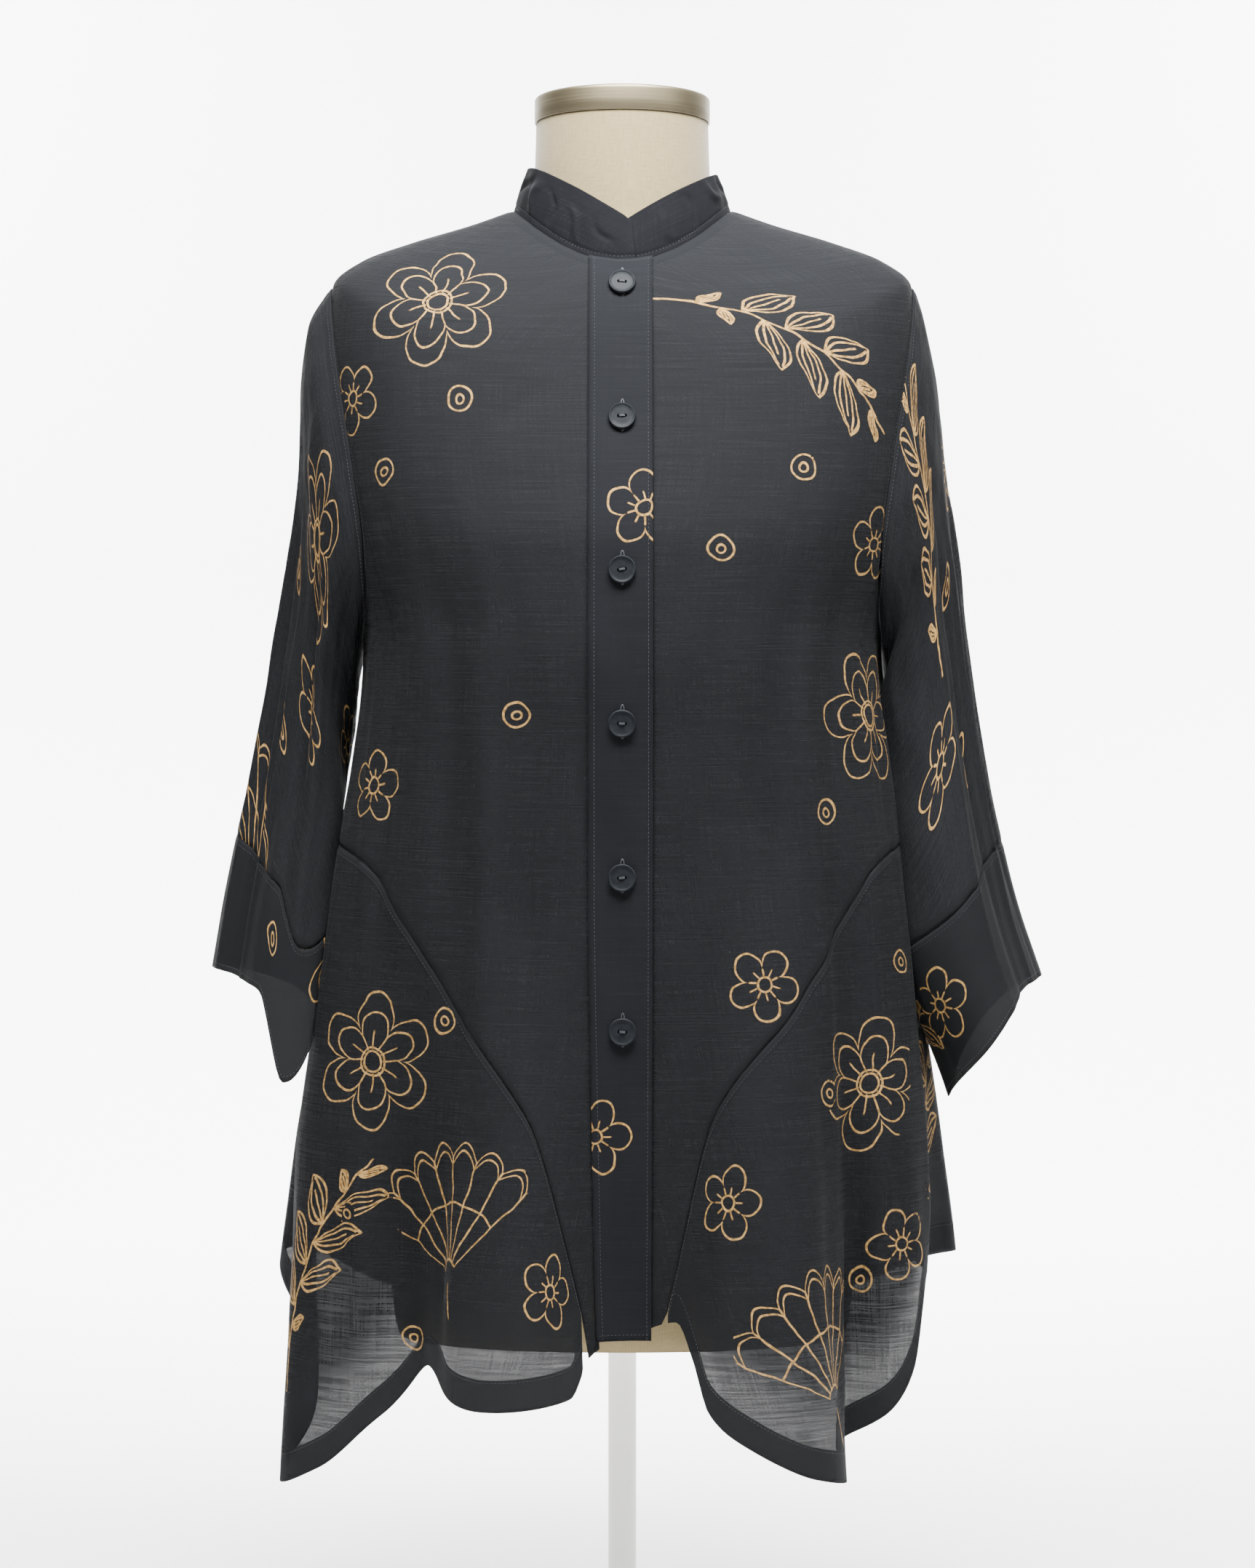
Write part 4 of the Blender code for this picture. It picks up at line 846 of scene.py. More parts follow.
def openFan(x, y, radius, line):
    # Ribs at even turns from one point, scalloped outer edge, two arcs and a short stalk.
    y = y + radius * 0.62
    reach = reachOf(x, y)
    turn = x.math("ARCTAN2", y)
    half = drawings["fanHalfTurn"]
    step = 2 * half / drawings["fanRibs"]
    inside = 1.0 - (turn.math("ABSOLUTE") - half).ramp(0.0, 0.012)
    share = (turn / step + 0.5).math("FRACT") - 0.5
    scallop = radius * 1.26 + (share * math.pi).math("COSINE") * (radius * 0.16)
    past = reach - scallop
    rib = lineAt((share.math("ABSOLUTE") - 0.5) * reach * step, line) * (1.0 - past.ramp(-0.0004, 0.0002))
    rib = rib * (reach / radius).ramp(0.20, 0.21)
    edge, echo = lineAt(past, line), lineAt(past + 0.0055, line)
    arc = highest(lineAt(reach - radius * 0.80, line), lineAt(reach - radius * 0.22, line))
    rise = y / radius
    stalk = lineAt(x + y * 0.12, line) * (1.0 - rise.ramp(-0.02, 0.0)) * rise.ramp(-0.42, -0.38)
    return highest(highest(rib, edge, echo, arc) * inside, stalk)


def drawnLines(graph, cloth, line):
    # The place on the nearest drawing is its own flat coordinate, less its kind's number; a soft noise makes lines
    # wander. The number picks one of the shapes.
    drifting = {"Vector": cloth, "Scale": drawings["wobbleScale"], "Detail": 1.0}
    wander = graph.add("ShaderNodeTexNoise", {"noise_dimensions": "2D"}, drifting, 1)
    shiftX, shiftY, _ = graph.parts(wander)
    storedX, storedY, _ = graph.parts(graph.add("ShaderNodeUVMap", {"uv_map": "drawing"}))
    number = (storedX + 0.5).math("FLOOR")
    x = storedX - number + (shiftX - 0.5) * drawings["wobble"]
    y = storedY + (shiftY - 0.5) * drawings["wobble"]
    reach = reachOf(x, y)
    radius = {word: kind[1] for word, kind in drawings["kinds"].items()}
    bloom = [blossom(x, y, radius["bloom"] * share, line, drawings["bloomPetals"]) for share in (0.97, 0.70)]
    shapes = {
        "bough": leafBough(x, y, radius["bough"], line),
        "bloom": highest(*bloom),
        "flower": blossom(x, y, radius["flower"] * 0.95, line, drawings["flowerPetals"]),
        "rings": highest(lineAt(reach - 0.0085, line), lineAt(reach - 0.0030, line)),
        "fan": openFan(x, y, radius["fan"], line),
    }
    found = 0.0
    for word, shape in shapes.items():
        found = shape * number.math("COMPARE", float(drawings["kinds"][word][0]), 0.5) + found
    return found


def clothMaterial(name, printed=True, band=False, ground="colour", pale="paleThread"):
    # Slubbed cloth: long thin noise both ways for threads, drawn lines, more opaque at hems and seams.
    look = clothLook
    graph = Graph(name, {"Roughness": look["roughness"], "Sheen Weight": look["sheen"], "Sheen Roughness": 0.45,
                         "Specular IOR Level": look["specular"]})
    place = graph.add("ShaderNodeUVMap", {"uv_map": "cloth"})
    u, v, _ = graph.parts(place)
    slub = graph.grain(u, v, *look["slub"])
    thread = slub * look["slubShare"] + graph.grain(u, v, *look["warp"]) * (1 - look["slubShare"])
    colour = graph.mix(thread.ramp(0.52, 0.76) * 0.5, look[ground], look[pale])
    colour = graph.mix((1.0 - slub.ramp(0.24, 0.44)) * 0.4, colour, look["darkThread"])
    hem = graph.attribute("hem")
    doubled = highest(*(1.0 - distance.ramp(deep, deep + look["foldEdge"]) for distance, deep in (
        (hem, look["hemDeep"]), (graph.attribute("seam"), look["seamDeep"]))))
    colour = graph.mix(doubled * 0.45, colour, look["darkThread"])
    if band:
        alpha = look["bandAlpha"] + thread * 0.02
    else:
        sheer = 1.0 - hem.ramp(look["sheerFrom"], look["sheerTo"])
        uneven = (thread.ramp(0.34, 0.66) - 0.5) * 0.07
        alpha = look["alpha"] + sheer * (look["sheerAlpha"] - look["alpha"]) + uneven
        alpha = alpha + (look["hemAlpha"] - alpha) * doubled
    if printed:
        worn = graph.grain(u, v, *look["worn"])
        gold = graph.mix(worn.ramp(0.35, 0.65), look["gold"], look["goldPale"])
        lines = drawnLines(graph, place, look["lineWidth"]) * (0.82 + worn.ramp(0.30, 0.45) * 0.18)
        colour = graph.mix(lines, colour, gold)
        alpha = highest(alpha, lines)
    graph.into("Base Color", colour)
    graph.into("Alpha", alpha)
    graph.into("Normal", graph.bump(thread + doubled * 0.9, 0.00022, 0.45))
    return graph.material


materials = {
    "cloth": clothMaterial("clothPrinted"),
    "inside": clothMaterial("clothInside", printed=False),
    "band": clothMaterial("clothBand", band=True, ground="bandColour"),
    # The collar's darker ground colour is painted shade against the near top lamp; its cloth is the body's.
    "collar": clothMaterial("clothCollarShaded", printed=False, band=True, ground="collarShadedColour", pale="collarPale"),
}
print("cloth materials ready")


def panelDistances(points, sewn, hemColumns):
    # Distance of each point to the hem and to the nearest seam, measured along rows and columns.
    across, down = clothLengths(points)
    toBottom = down[-1:] - down
    hem = np.where(hemColumns, toBottom, 1.0)
    seam = np.where(hemColumns, 1.0, toBottom)
    for isSewn, distance in zip(sewn, (down, across, across[:, -1:] - across)):
        if isSewn:
            seam = np.minimum(seam, distance)
    return hem, seam


def seamDip(points, normals, seam, depth):
    # A bell-shaped trough along every seam.
    return points - normals * (depth * bell(seam / blouse["seamDipWidth"]))[..., None]


cut = {
    # flat width, flat length, flat area, place on the print
    "frontRight": (0.48, 0.765, 0.125, (0.31, 0.12)),
    "frontLeft": (0.46, 0.745, 0.125, (1.73, 0.57)),
    "backPanel": (0.96, 0.825, 0.298, (3.11, 0.93)),
    "flareRight": (0.86, 0.445, 0.153, (5.27, 1.41)),
    "flareLeft": (0.86, 0.37, 0.146, (7.91, 2.03)),
    "sleeveRight": (0.645, 0.4, 0.105, (9.37, 2.71)),
    "sleeveLeft": (0.645, 0.401, 0.111, (11.23, 3.17)),
    "cuffRight": (0.446, 0.096, 0.0279, (13.61, 3.79)),
    "cuffLeft": (0.435, 0.1, 0.0383, (15.07, 4.33)),
    "bandUnder": (0.039, 0.751, 0.0282, (17.3, 5.1)),
    "bandOver": (0.045, 0.754, 0.0321, (18.9, 5.7)),
    "collarBand": (0.522, 0.047, 0.016, (20.1, 6.3)),
}

# The scattered drawings: kind, place on the piece, lean in degrees. On the body the place is angle and level,
# on sleeves and cuffs turn and share of the length, on the band distance from the middle and level.
marks = {
    "frontRight": (
        ("bloom", -40, 0.945, 20), ("rings", -27, 0.893, 0), ("flower", -61, 0.88, 50), ("rings", -50, 0.845, 0),
        ("rings", -20, 0.69, 0), ("flower", -60, 0.64, 10),
    ),
    "frontLeft": (
        ("bough", 30, 0.935, -28), ("flower", 61, 0.805, 15), ("rings", 33, 0.85, 0), ("rings", 17, 0.8, 0),
        ("bloom", 64, 0.69, 0), ("rings", 43, 0.622, 0), ("flower", 24, 0.505, 60),
    ),
    "flareRight": (
        ("fan", -27, 0.345, 12), ("bloom", -50, 0.452, 30), ("bough", -67, 0.31, 68), ("rings", -32, 0.482, 0),
        ("rings", -55, 0.345, 0), ("flower", -11.5, 0.302, 0), ("rings", -80, 0.235, 0), ("flower", -86, 0.43, 30),
        ("rings", -40, 0.262, 0), ("fan", -104, 0.43, -20), ("bloom", -122, 0.35, 0), ("rings", -94, 0.345, 0),
        ("bough", -143, 0.4, 75), ("flower", -160, 0.33, 0), ("rings", -132, 0.47, 0),
    ),
    "flareLeft": (
        ("fan", 30, 0.262, 12), ("bloom", 50, 0.435, 15), ("flower", 57, 0.325, 40), ("rings", 48, 0.3, 0),
        ("rings", 36, 0.43, 0), ("flower", 17, 0.36, 0), ("bough", 87, 0.4, 75), ("rings", 64, 0.52, 0),
        ("rings", 72, 0.36, 0), ("bough", 122, 0.42, 100), ("rings", 104, 0.5, 0), ("fan", 143, 0.39, 10),
        ("flower", 162, 0.33, 0), ("rings", 128, 0.33, 0),
    ),
    "backPanel": (
        ("bough", 152, 0.93, 30), ("bloom", 214, 0.925, 0), ("rings", 190, 0.9, 0), ("flower", 166, 0.82, 0),
        ("fan", 205, 0.74, 15), ("rings", 150, 0.76, 0), ("bloom", 148, 0.65, 40), ("bough", 186, 0.56, 80),
        ("flower", 228, 0.62, 0), ("rings", 212, 0.54, 0), ("rings", 165, 0.48, 0), ("fan", 196, 0.37, 0),
        ("flower", 120, 0.72, 0), ("rings", 240, 0.74, 0),
    ),
    "sleeveRight": (
        ("bloom", 78, 0.25, 0), ("rings", 50, 0.42, 0), ("flower", 92, 0.56, 20), ("rings", 66, 0.66, 0),
        ("fan", 48, 0.86, 10), ("bough", 300, 0.45, 80), ("bloom", 265, 0.74, 0), ("flower", 240, 0.3, 0),
        ("rings", 330, 0.2, 0), ("flower", 160, 0.4, 0), ("bough", 190, 0.75, 85),
    ),
    "sleeveLeft": (
        ("bough", 72, 0.24, 70), ("rings", 52, 0.45, 0), ("flower", 92, 0.66, 20), ("rings", 60, 0.72, 0),
        ("fan", 300, 0.4, 0), ("bloom", 262, 0.7, 0), ("flower", 240, 0.28, 0), ("rings", 330, 0.62, 0),
        ("flower", 12, 0.3, 0), ("flower", 165, 0.5, 95), ("rings", 200, 0.3, 0),
    ),
    "cuffRight": (
        ("bloom", 150, 0.94, 0), ("rings", 92, 0.92, 0), ("bough", 250, 0.93, 0), ("flower", 330, 0.94, 0),
    ),
    "cuffLeft": (
        ("bough", 196, 0.93, 10), ("flower", 122, 0.93, 0), ("bloom", 260, 0.93, 0), ("rings", 330, 0.94, 0),
    ),
    "bandOver": (("flower", 0.014, 0.828, 20), ("flower", -0.019, 0.405, 0)),
}


def declare(node):
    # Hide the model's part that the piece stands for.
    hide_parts(node)


grids = {"backPanel": drapedGrid(*backGrid())}
for word, side in sides:
    grids["front" + word] = drapedGrid(*frontGrid(side), side)
    grids["flare" + word] = drapedGrid(*flareGrid(side), side)


def bodyPiece(key, node, centre, hemColumns, sewn=(True, True, True), held="draped"):
    # One panel of the body: a trough along its seams (above, at its first and last column), its drawings, and a
    # plain lining face.
    points, normals, angle, level = grids[key]
    hem, seam = panelDistances(points, sewn, hemColumns)
    points = seamDip(points, normals, seam, blouse["seamDip"])
    flat = bodyFlat(angle, level, centre, cut[key][3])
    seen = (points, normals) if held == "draped" else ()
    placed = marksAt(marks[key], angle, level, (0.0035, 1.0), flat, *seen)
    piece = clothPiece(key, points, normals, materials["cloth"], flat, placed, hem=hem, seam=seam,
                       lining=materials["inside"])
    declare(node)


for word, side in sides:
    columns = grids["front" + word][0].shape[1]
    bodyPiece("front" + word, "front_" + word.lower(), side * 38.0, (np.arange(columns) < 3)[::side],
              (True, side < 0, side > 0))
    columns = grids["flare" + word][0].shape[1]
    bodyPiece("flare" + word, "side_panel_" + word.lower(), side * 62.0, np.ones(columns, bool), held="hung")
columns = grids["backPanel"][0].shape[1]
bodyPiece("backPanel", "back", 180.0, np.abs(np.arange(columns) - columns // 2) < 4)
print("body panels built")

for word, side in sides:
    points, normals, turn, along = sleeveGrid(side, word)
    turn = turn % 360
    frontColumn = int((90 - sleeves["firstTurn"]) / 360 * sleeves["columns"])
    if side > 0:
        points, normals, turn = points[:, ::-1], normals[:, ::-1], turn[:, ::-1]
        frontColumn = sleeves["columns"] - 1 - frontColumn
    grids["sleeve" + word] = (points, normals)
    down = runAlong(points, 0)
    atCut = down[sleeves["rows"] - 1]
    upper, lower = slice(0, sleeves["rows"]), slice(sleeves["rows"] - 1, None)
    sleeveSeam = np.minimum(atCut - down[upper], down[upper])
    for name, rows, seam, hem, lining, rests in (
        ("sleeve", upper, sleeveSeam, None, materials["inside"], ("front" + word, "backPanel")),
        ("cuff", lower, down[lower] - atCut, down[lower] * 0, None, ("sleeve" + word,)),
    ):
        key = name + word
        part = points[rows].copy()
        if name == "cuff":
            part[0] += unit(part[1] - part[0]) * sleeves["cuffGap"]
        part = seamDip(part, normals[rows], seam, sleeves["seamDip"])
        flat = flatPlaces(*clothLengths(wrapped(part), frontColumn), cut[key][3])
        placed = marksAt(marks[key], wrapped(turn[rows]), wrapped(along[rows]), (0.0012, 0.45), flat)
        piece = clothPiece(key, part, normals[rows], materials["cloth"], flat, placed, hem=hem, seam=seam,
                           closed=True, lining=lining)
        declare(name + "_" + word.lower())
print("sleeves built")

bands = {
    "step": 0.0017,  # how far the lapping band lies out from the one beneath
    "thick": 0.0011,
    "rows": 260,
    "columns": 15,
    "top": 0.9996,
    "overHem": 0.001,
    "swell": 0.00035,
    "swellWidth": 0.007,
    "ripple": 0.00022,
    "under": (-0.0189, 0.0194),
    "over": (-0.0228, 0.0208),
}


def bandGrid(xFrom, xTo, lift):
    # A straight strip down the closing: angle from distance to the middle, level from neckline to hem. The
    # topstitched edges sink a little and the strip swells softly between them.
    level = np.linspace(bands["top"], float(hemHeight(0.0)) - bands["overHem"], bands["rows"])[:, None]
    x = np.linspace(xFrom, xTo, bands["columns"])[None]
    angle = angleAtX(x, level)
    level = level + np.zeros_like(angle)
    ripple = bands["ripple"] * np.sin(level * 61 + 0.5) * np.sin(level * 23 + x * 90)
    swell = bands["swell"] * smoothStep(0.0, bands["swellWidth"], np.minimum(x - xFrom, xTo - x)) + ripple
    points, normals = drapedBody(angle, level, lift)
    return points + normals * swell[..., None], normals, np.broadcast_to(x, angle.shape), level


for key, node, reach, lift in (("bandUnder", "band_under", "under", 0.0),
                               ("bandOver", "band_over", "over", bands["step"])):
    points, normals, across, level = bandGrid(*bands[reach], lift)
    grids[key] = (points, normals)
    flat = flatPlaces(across, -level, cut[key][3])
    placed = marksAt(marks.get(key, ()), across, level, (1.0, 1.0), flat)
    piece = clothPiece(key, points, normals, materials["band"], flat, placed, bands["thick"])
    declare(node)

collarLook = {
    "startAngle": -8.0,  # the end that lies beneath, past centre front
    "endAngle": 367.0,
    "columns": 420,
    "rows": 40,
    "middle": 3.5,  # angle of the lowest point of the top edge
    # angle off the middle, height of the top edge
    "top": (
        (0, 1.0335), (15, 1.0445), (30, 1.055), (45, 1.064), (60, 1.0715), (75, 1.0765), (84, 1.0775), (95, 1.075),
        (108, 1.0725), (125, 1.0745), (150, 1.083), (180, 1.088),
    ),
    "leftDrop": 0.0035,  # how much lower the wearer's left corner sits
    "leanFront": 0.0105,
    "leanSide": 0.0095,
    "leanBack": 0.0015,
    "centreY": -0.010,  # the point that the band leans towards
    "foot": -0.0022,
    "inset": 0.0014,
    "layer": 0.0016,
    "radius": 0.087,  # by which its ends' angles are turned into lengths
    "corner": 0.009,
    "startDrop": 0.006,
    "thick": 0.0012,
    "stitchedAt": 0.0058,  # height of the topstitching over the foot
    "dent": 0.00045,
    "dentWidth": 0.0011,
    "rumple": 0.00035,
    "bellied": 0.0009,
    "creaseRadius": 0.078,
    # from angle, from height, to angle, to height, width, depth
    "creases": (
        (-62, 0.034, -82, 0.01, 0.003, -0.0021), (-54, 0.033, -60, 0.006, 0.0034, 0.0019),
        (-44, 0.032, -40, 0.008, 0.0026, -0.0014), (-31, 0.03, -22, 0.01, 0.003, 0.0013),
        (-16, 0.03, -6, 0.012, 0.0026, -0.0011), (20, 0.03, 30, 0.008, 0.003, 0.0014),
        (38, 0.033, 47, 0.006, 0.0028, -0.0016), (52, 0.034, 70, 0.012, 0.0032, 0.0019),
        (72, 0.03, 88, 0.006, 0.0028, -0.0016), (120, 0.03, 128, 0.006, 0.0034, 0.0014),
        (160, 0.03, 155, 0.004, 0.0036, -0.0014), (-170, 0.03, -160, 0.004, 0.0036, 0.0014),
        (-128, 0.03, -120, 0.004, 0.0034, -0.0014),
    ),
}


def collarGrid():
    # The neckline ring stepped in, leaning inwards as it rises; one end spirals out over the other.
    look = collarLook
    angle = np.linspace(look["startAngle"], look["endAngle"], look["columns"])
    foot = plainBody(angle, 1.0)
    radial = unit(foot[:, :2] - np.array([0.0, look["centreY"]]))
    turn = np.radians(angle)
    beneath = 1 - smoothStep(6.0, 34.0, angle)
    inset = look["inset"] + look["layer"] * beneath - look["layer"] * 0.6 * smoothStep(330.0, 352.0, angle)
    ahead = np.cos(turn)
    leanMost = np.where(ahead > 0, look["leanFront"], look["leanBack"])
    lean = look["leanSide"] + (leanMost - look["leanSide"]) * ahead * ahead
    top = readTable(look["top"], np.abs(turnBetween(angle, look["middle"])))
    top = top - look["leftDrop"] * np.clip(np.sin(turn), 0, 1) ** 2
    height = top - foot[:, 2] - look["foot"]
    # The upper end is rounded by a quarter circle and the lower end slopes down.
    corner, toEnd = look["corner"], (turn[-1] - turn) * look["radius"]
    lowered = corner - np.sqrt(np.clip(corner ** 2 - np.clip(corner - toEnd, 0, None) ** 2, 0, None))
    height = height - np.where(toEnd < corner, lowered, 0.0)
    height = height - look["startDrop"] * (1 - smoothStep(0.0, 0.014, (turn - turn[0]) * look["radius"]))
    rise = np.linspace(1, 0, look["rows"])[:, None]
    points = np.zeros((look["rows"], len(angle), 3))
    points[..., :2] = foot[None, :, :2] - radial[None] * (inset + lean * rise)[..., None]
    points[..., 2] = foot[None, :, 2] + look["foot"] + height * rise
    normals = np.zeros_like(points)
    normals[..., :2] = radial[None]
    normals[..., 2] = (lean / height)[None]
    normals = unit(normals)
    rumple = np.sin(turn * 13 + 0.6 + rise * 2.2) * np.sin(turn * 5 + 1.1) + 0.6 * np.sin(turn * 29 - rise * 3.0)
    upwards = height[None] * rise
    creased = creaseHeight(angle[None], upwards, look["creases"], look["creaseRadius"])
    shape = look["rumple"] * rumple + look["bellied"] * np.sin(math.pi * rise) + creased
    dent = look["dent"] * bell((upwards - look["stitchedAt"]) / look["dentWidth"])
    lift = shape * np.sin(math.pi * np.clip(rise * 0.72 + 0.14, 0, 1)) - dent
    return points + normals * lift[..., None], normals


points, normals = grids["collarBand"] = collarGrid()
flat = flatPlaces(*clothLengths(points), cut["collarBand"][3])
piece = clothPiece("collarBand", points, normals, materials["collar"], flat,
                   thickness=collarLook["thick"])
declare("collar")
print("bands and collar built")


def plainMaterial(name, colour, roughness):
    # One colour and roughness.
    return Graph(name, {"Base Color": (*colour, 1), "Roughness": roughness}).material


linenLook = {
    # grains per metre across and along, detail, roughness
    "weft": (90.0, 1500.0, 1.0, 0.6),
    "warp": (1500.0, 90.0, 1.0, 0.6),
    "tone": (7.0, 7.0, 1.0, 0.5),
    "dark": (0.188, 0.144, 0.068, 1),
    "pale": (0.238, 0.186, 0.092, 1),
}


def linenMaterial():
    # Cream plain weave: thread noise both ways in the piece's own flat coordinates, uneven in tone.
    graph = Graph("creamLinen", {"Roughness": 0.86, "Sheen Weight": 0.25, "Sheen Roughness": 0.5,
                                 "Specular IOR Level": 0.3})
    u, v, _ = graph.parts(graph.add("ShaderNodeUVMap", {"uv_map": "cloth"}))
    weft, warp, tone = (graph.grain(u, v, *linenLook[word]) for word in ("weft", "warp", "tone"))
    thread = weft * 0.5 + warp * 0.5
    share = thread.ramp(0.36, 0.64) * 0.7 + tone.ramp(0.3, 0.7) * 0.3
    graph.into("Base Color", graph.mix(share, linenLook["dark"], linenLook["pale"]))
    graph.into("Normal", graph.bump(thread, 0.0002, 0.5))
    return graph.material


nickelLook = {
    "dark": (0.17, 0.144, 0.092, 1),
    "pale": (0.23, 0.198, 0.130, 1),
    "grainsAcross": 14.0,
    "grainsUp": 2600.0,
}


def brushedMaterial():
    # Pale gold nickel: fine level brush lines as roughness, from height in object coordinates.
    graph = Graph("brushedNickel", {"Metallic": 1.0})
    x, y, z = graph.parts(graph.add("ShaderNodeTexCoord", {}, (), "Object"))
    across = nickelLook["grainsAcross"]
    lines = graph.noise(graph.vector(x * across, y * across, z * nickelLook["grainsUp"]), 3.0, 0.6)
    graph.into("Base Color", graph.mix(lines.ramp(0.3, 0.7), nickelLook["dark"], nickelLook["pale"]))
    graph.into("Roughness", 0.42 + lines * 0.14)
    graph.into("Normal", graph.bump(lines, 0.00006, 0.5))
    return graph.material


materials["linen"] = linenMaterial()
materials["nickel"] = brushedMaterial()
materials["coat"] = plainMaterial("whiteCoat", (0.80, 0.80, 0.785), 0.42)
materials["thread"] = plainMaterial("darkThread", (0.016, 0.018, 0.022), 0.78)

form = {
    "columns": 240,
    "rows": 210,
    "clearance": 0.0036,  # from the cloth's middle to the form under it
    # front z, side z, back z, half width, front y, back y, squareness
    "torso": (
        (0.252, 0.252, 0.252, 0.158, 0.098, 0.098, 2.2), (0.262, 0.262, 0.262, 0.161, 0.101, 0.101, 2.2),
        (0.34, 0.34, 0.34, 0.168, 0.106, 0.108, 2.2), (0.42, 0.42, 0.42, 0.162, 0.104, 0.106, 2.2),
        (0.5, 0.5, 0.5, 0.142, 0.097, 0.092, 2.2), (0.58, 0.58, 0.58, 0.124, 0.094, 0.08, 2.2),
        (0.64, 0.64, 0.64, 0.126, 0.1, 0.082, 2.2), (0.7, 0.7, 0.7, 0.138, 0.118, 0.09, 2.2),
        (0.76, 0.76, 0.76, 0.15, 0.136, 0.098, 2.2), (0.8, 0.8, 0.8, 0.156, 0.138, 0.102, 2.2),
        (0.835, 0.86, 0.85, 0.164, 0.133, 0.106, 2.3),
    ),
    "shoulders": (0.925, 0.940, 0.955, 0.968, 0.980, 0.990),  # levels of the cloth that it follows
    "armpitShare": (0.93, 0.985, 1.0),  # by which the lowest of them is drawn in
    "armpitDrop": (0, 0, 0.004),
    "neck": (
        (0.999, 1.046, 1.058, 0.074, 0.078, 0.06, 2), (1.012, 1.054, 1.064, 0.0665, 0.067, 0.057, 2),
        (1.036, 1.067, 1.074, 0.0628, 0.061, 0.056, 2), (1.1115, 1.1115, 1.1115, 0.0612, 0.06, 0.056, 2),
    ),
    "neckTop": 1.1115,
    "capGap": 0.0003,
    "capHeight": 0.018,
    "capProud": 0.0012,
    "capRound": 0.0025,
}
stand = {
    # radius, height
    "base": (
        (0.1485, 0.0), (0.150, 0.0012), (0.150, 0.0105), (0.1495, 0.0122), (0.1482, 0.0135), (0.1465, 0.0140),
        (0.090, 0.0150), (0.030, 0.0158), (0.0235, 0.0166), (0.0215, 0.0185), (0.0200, 0.0240), (0.0186, 0.0420),
        (0.0178, 0.0436), (0.0165, 0.0440),
    ),
    "pole": (
        (0.0100, 0.0443), (0.0100, 0.150), (0.0100, 0.2430), (0.0108, 0.2445), (0.0150, 0.2462), (0.0240, 0.2472),
        (0.0258, 0.2480), (0.0260, 0.2490), (0.0260, 0.2514), (0.0256, 0.2517),
    ),
    "baseColumns": 160,
    "poleColumns": 96,
}


def formRings():
    # Torso rings, then the cloth's own shoulder rings moved in along their normals, then the neck.
    turn = np.linspace(0, 360, form["columns"], endpoint=False)
    rings = [ringPoints(turn, *ring) for ring in form["torso"]]
    for level in form["shoulders"]:
        rings.append(plainBody(turn, level) - bodyNormal(turn, np.full_like(turn, level)) * form["clearance"])
    armpit = len(form["torso"])
    rings[armpit] = rings[armpit] * np.array(form["armpitShare"]) - np.array(form["armpitDrop"])
    return np.stack(rings + [ringPoints(turn, *ring) for ring in form["neck"]])


def throughRings(rings, count):
    # Smooth columns through the rings, spaced by their mean distance apart.
    knots = np.insert(np.cumsum(np.linalg.norm(np.diff(rings, axis=0), axis=-1).mean(axis=1)), 0, 0)
    at = np.linspace(0, knots[-1], count)
    flat = rings.reshape(len(rings), -1)
    columns = [flowThrough(knots, flat[:, k], at) for k in range(flat.shape[1])]
    return np.stack(columns, axis=1).reshape(count, -1, 3)


def stackFaces(index, high, low):
    # The cells of a grid of rings, and at either end a fan of four-cornered faces that take two steps at a time.
    step = np.arange(0, index.shape[1] - 1, 2)
    faces = [gridFaces(index)]
    for ring, middle, order in ((index[0], high, (0, 1, 2)), (index[-1], low, (2, 1, 0))):
        faces.append(np.stack([np.full(len(step), middle), *(ring[step + k] for k in order)], axis=-1))
    return np.concatenate(faces)


def closedStack(name, rings, material, node):
    # Rings from the lowest up, welded round and closed at both ends by a fan to the middle.
    rings = rings[::-1]
    rows, columns = rings.shape[:2]
    count = rows * columns
    vertices = np.concatenate([rings.reshape(-1, 3), rings[:1].mean(axis=1), rings[-1:].mean(axis=1)])
    faces = stackFaces(wrapped(np.arange(count).reshape(rows, columns)), count, count + 1)
    flat = flatPlaces(*clothLengths(wrapped(rings)))
    flatFaces = stackFaces(np.arange(len(flat)).reshape(rows, columns + 1), len(flat), len(flat) + 1)
    piece = meshPiece(name, vertices, faces, material, np.concatenate([flat, [[0, 0], [0, -1]]]), flatFaces)
    piece.data.set_sharp_from_angle(angle=math.radians(50))
    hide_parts(node)


def levelRings(profile, columns, plan=(0, 0, 0)):
    # Level ellipses up a profile of how far out and how high: plan's half width, front y and back y, widened.
    turn = np.linspace(0, 360, columns, endpoint=False)
    return np.stack([ringPoints(turn, z, z, z, *(half + out for half in plan), 2.0) for out, z in profile])


def capProfile():
    # A little proud of the neck, with a rounded upper edge and a shallow dished top.
    foot, high, proud = form["neckTop"] + form["capGap"], form["capHeight"], form["capProud"]
    profile = [(proud - 0.0004, 0.0), (proud, 0.0006), (proud, high * 0.5), (proud, high - 0.0030)]
    for turn in np.linspace(0.2, math.pi / 2, 7):
        inwards, down = form["capRound"] * (1 - math.cos(turn)), form["capRound"] * (1 - math.sin(turn))
        profile.append((proud - inwards, high - down))
    profile += [(proud - 0.006, high - 0.0003), (proud - 0.020, high - 0.0008)]
    return [(out, foot + rise) for out, rise in profile]


closedStack("formCover", throughRings(formRings(), form["rows"]), materials["linen"], "form_torso")
closedStack("neckCap", levelRings(capProfile(), form["columns"], form["neck"][-1][3:6]),
            materials["nickel"], "neck_cap")
closedStack("standBase", levelRings(stand["base"], stand["baseColumns"]), materials["coat"],
            "stand_base")
closedStack("standPole", levelRings(stand["pole"], stand["poleColumns"]), materials["coat"],
            "stand_pole")
print("form, cap and stand built")

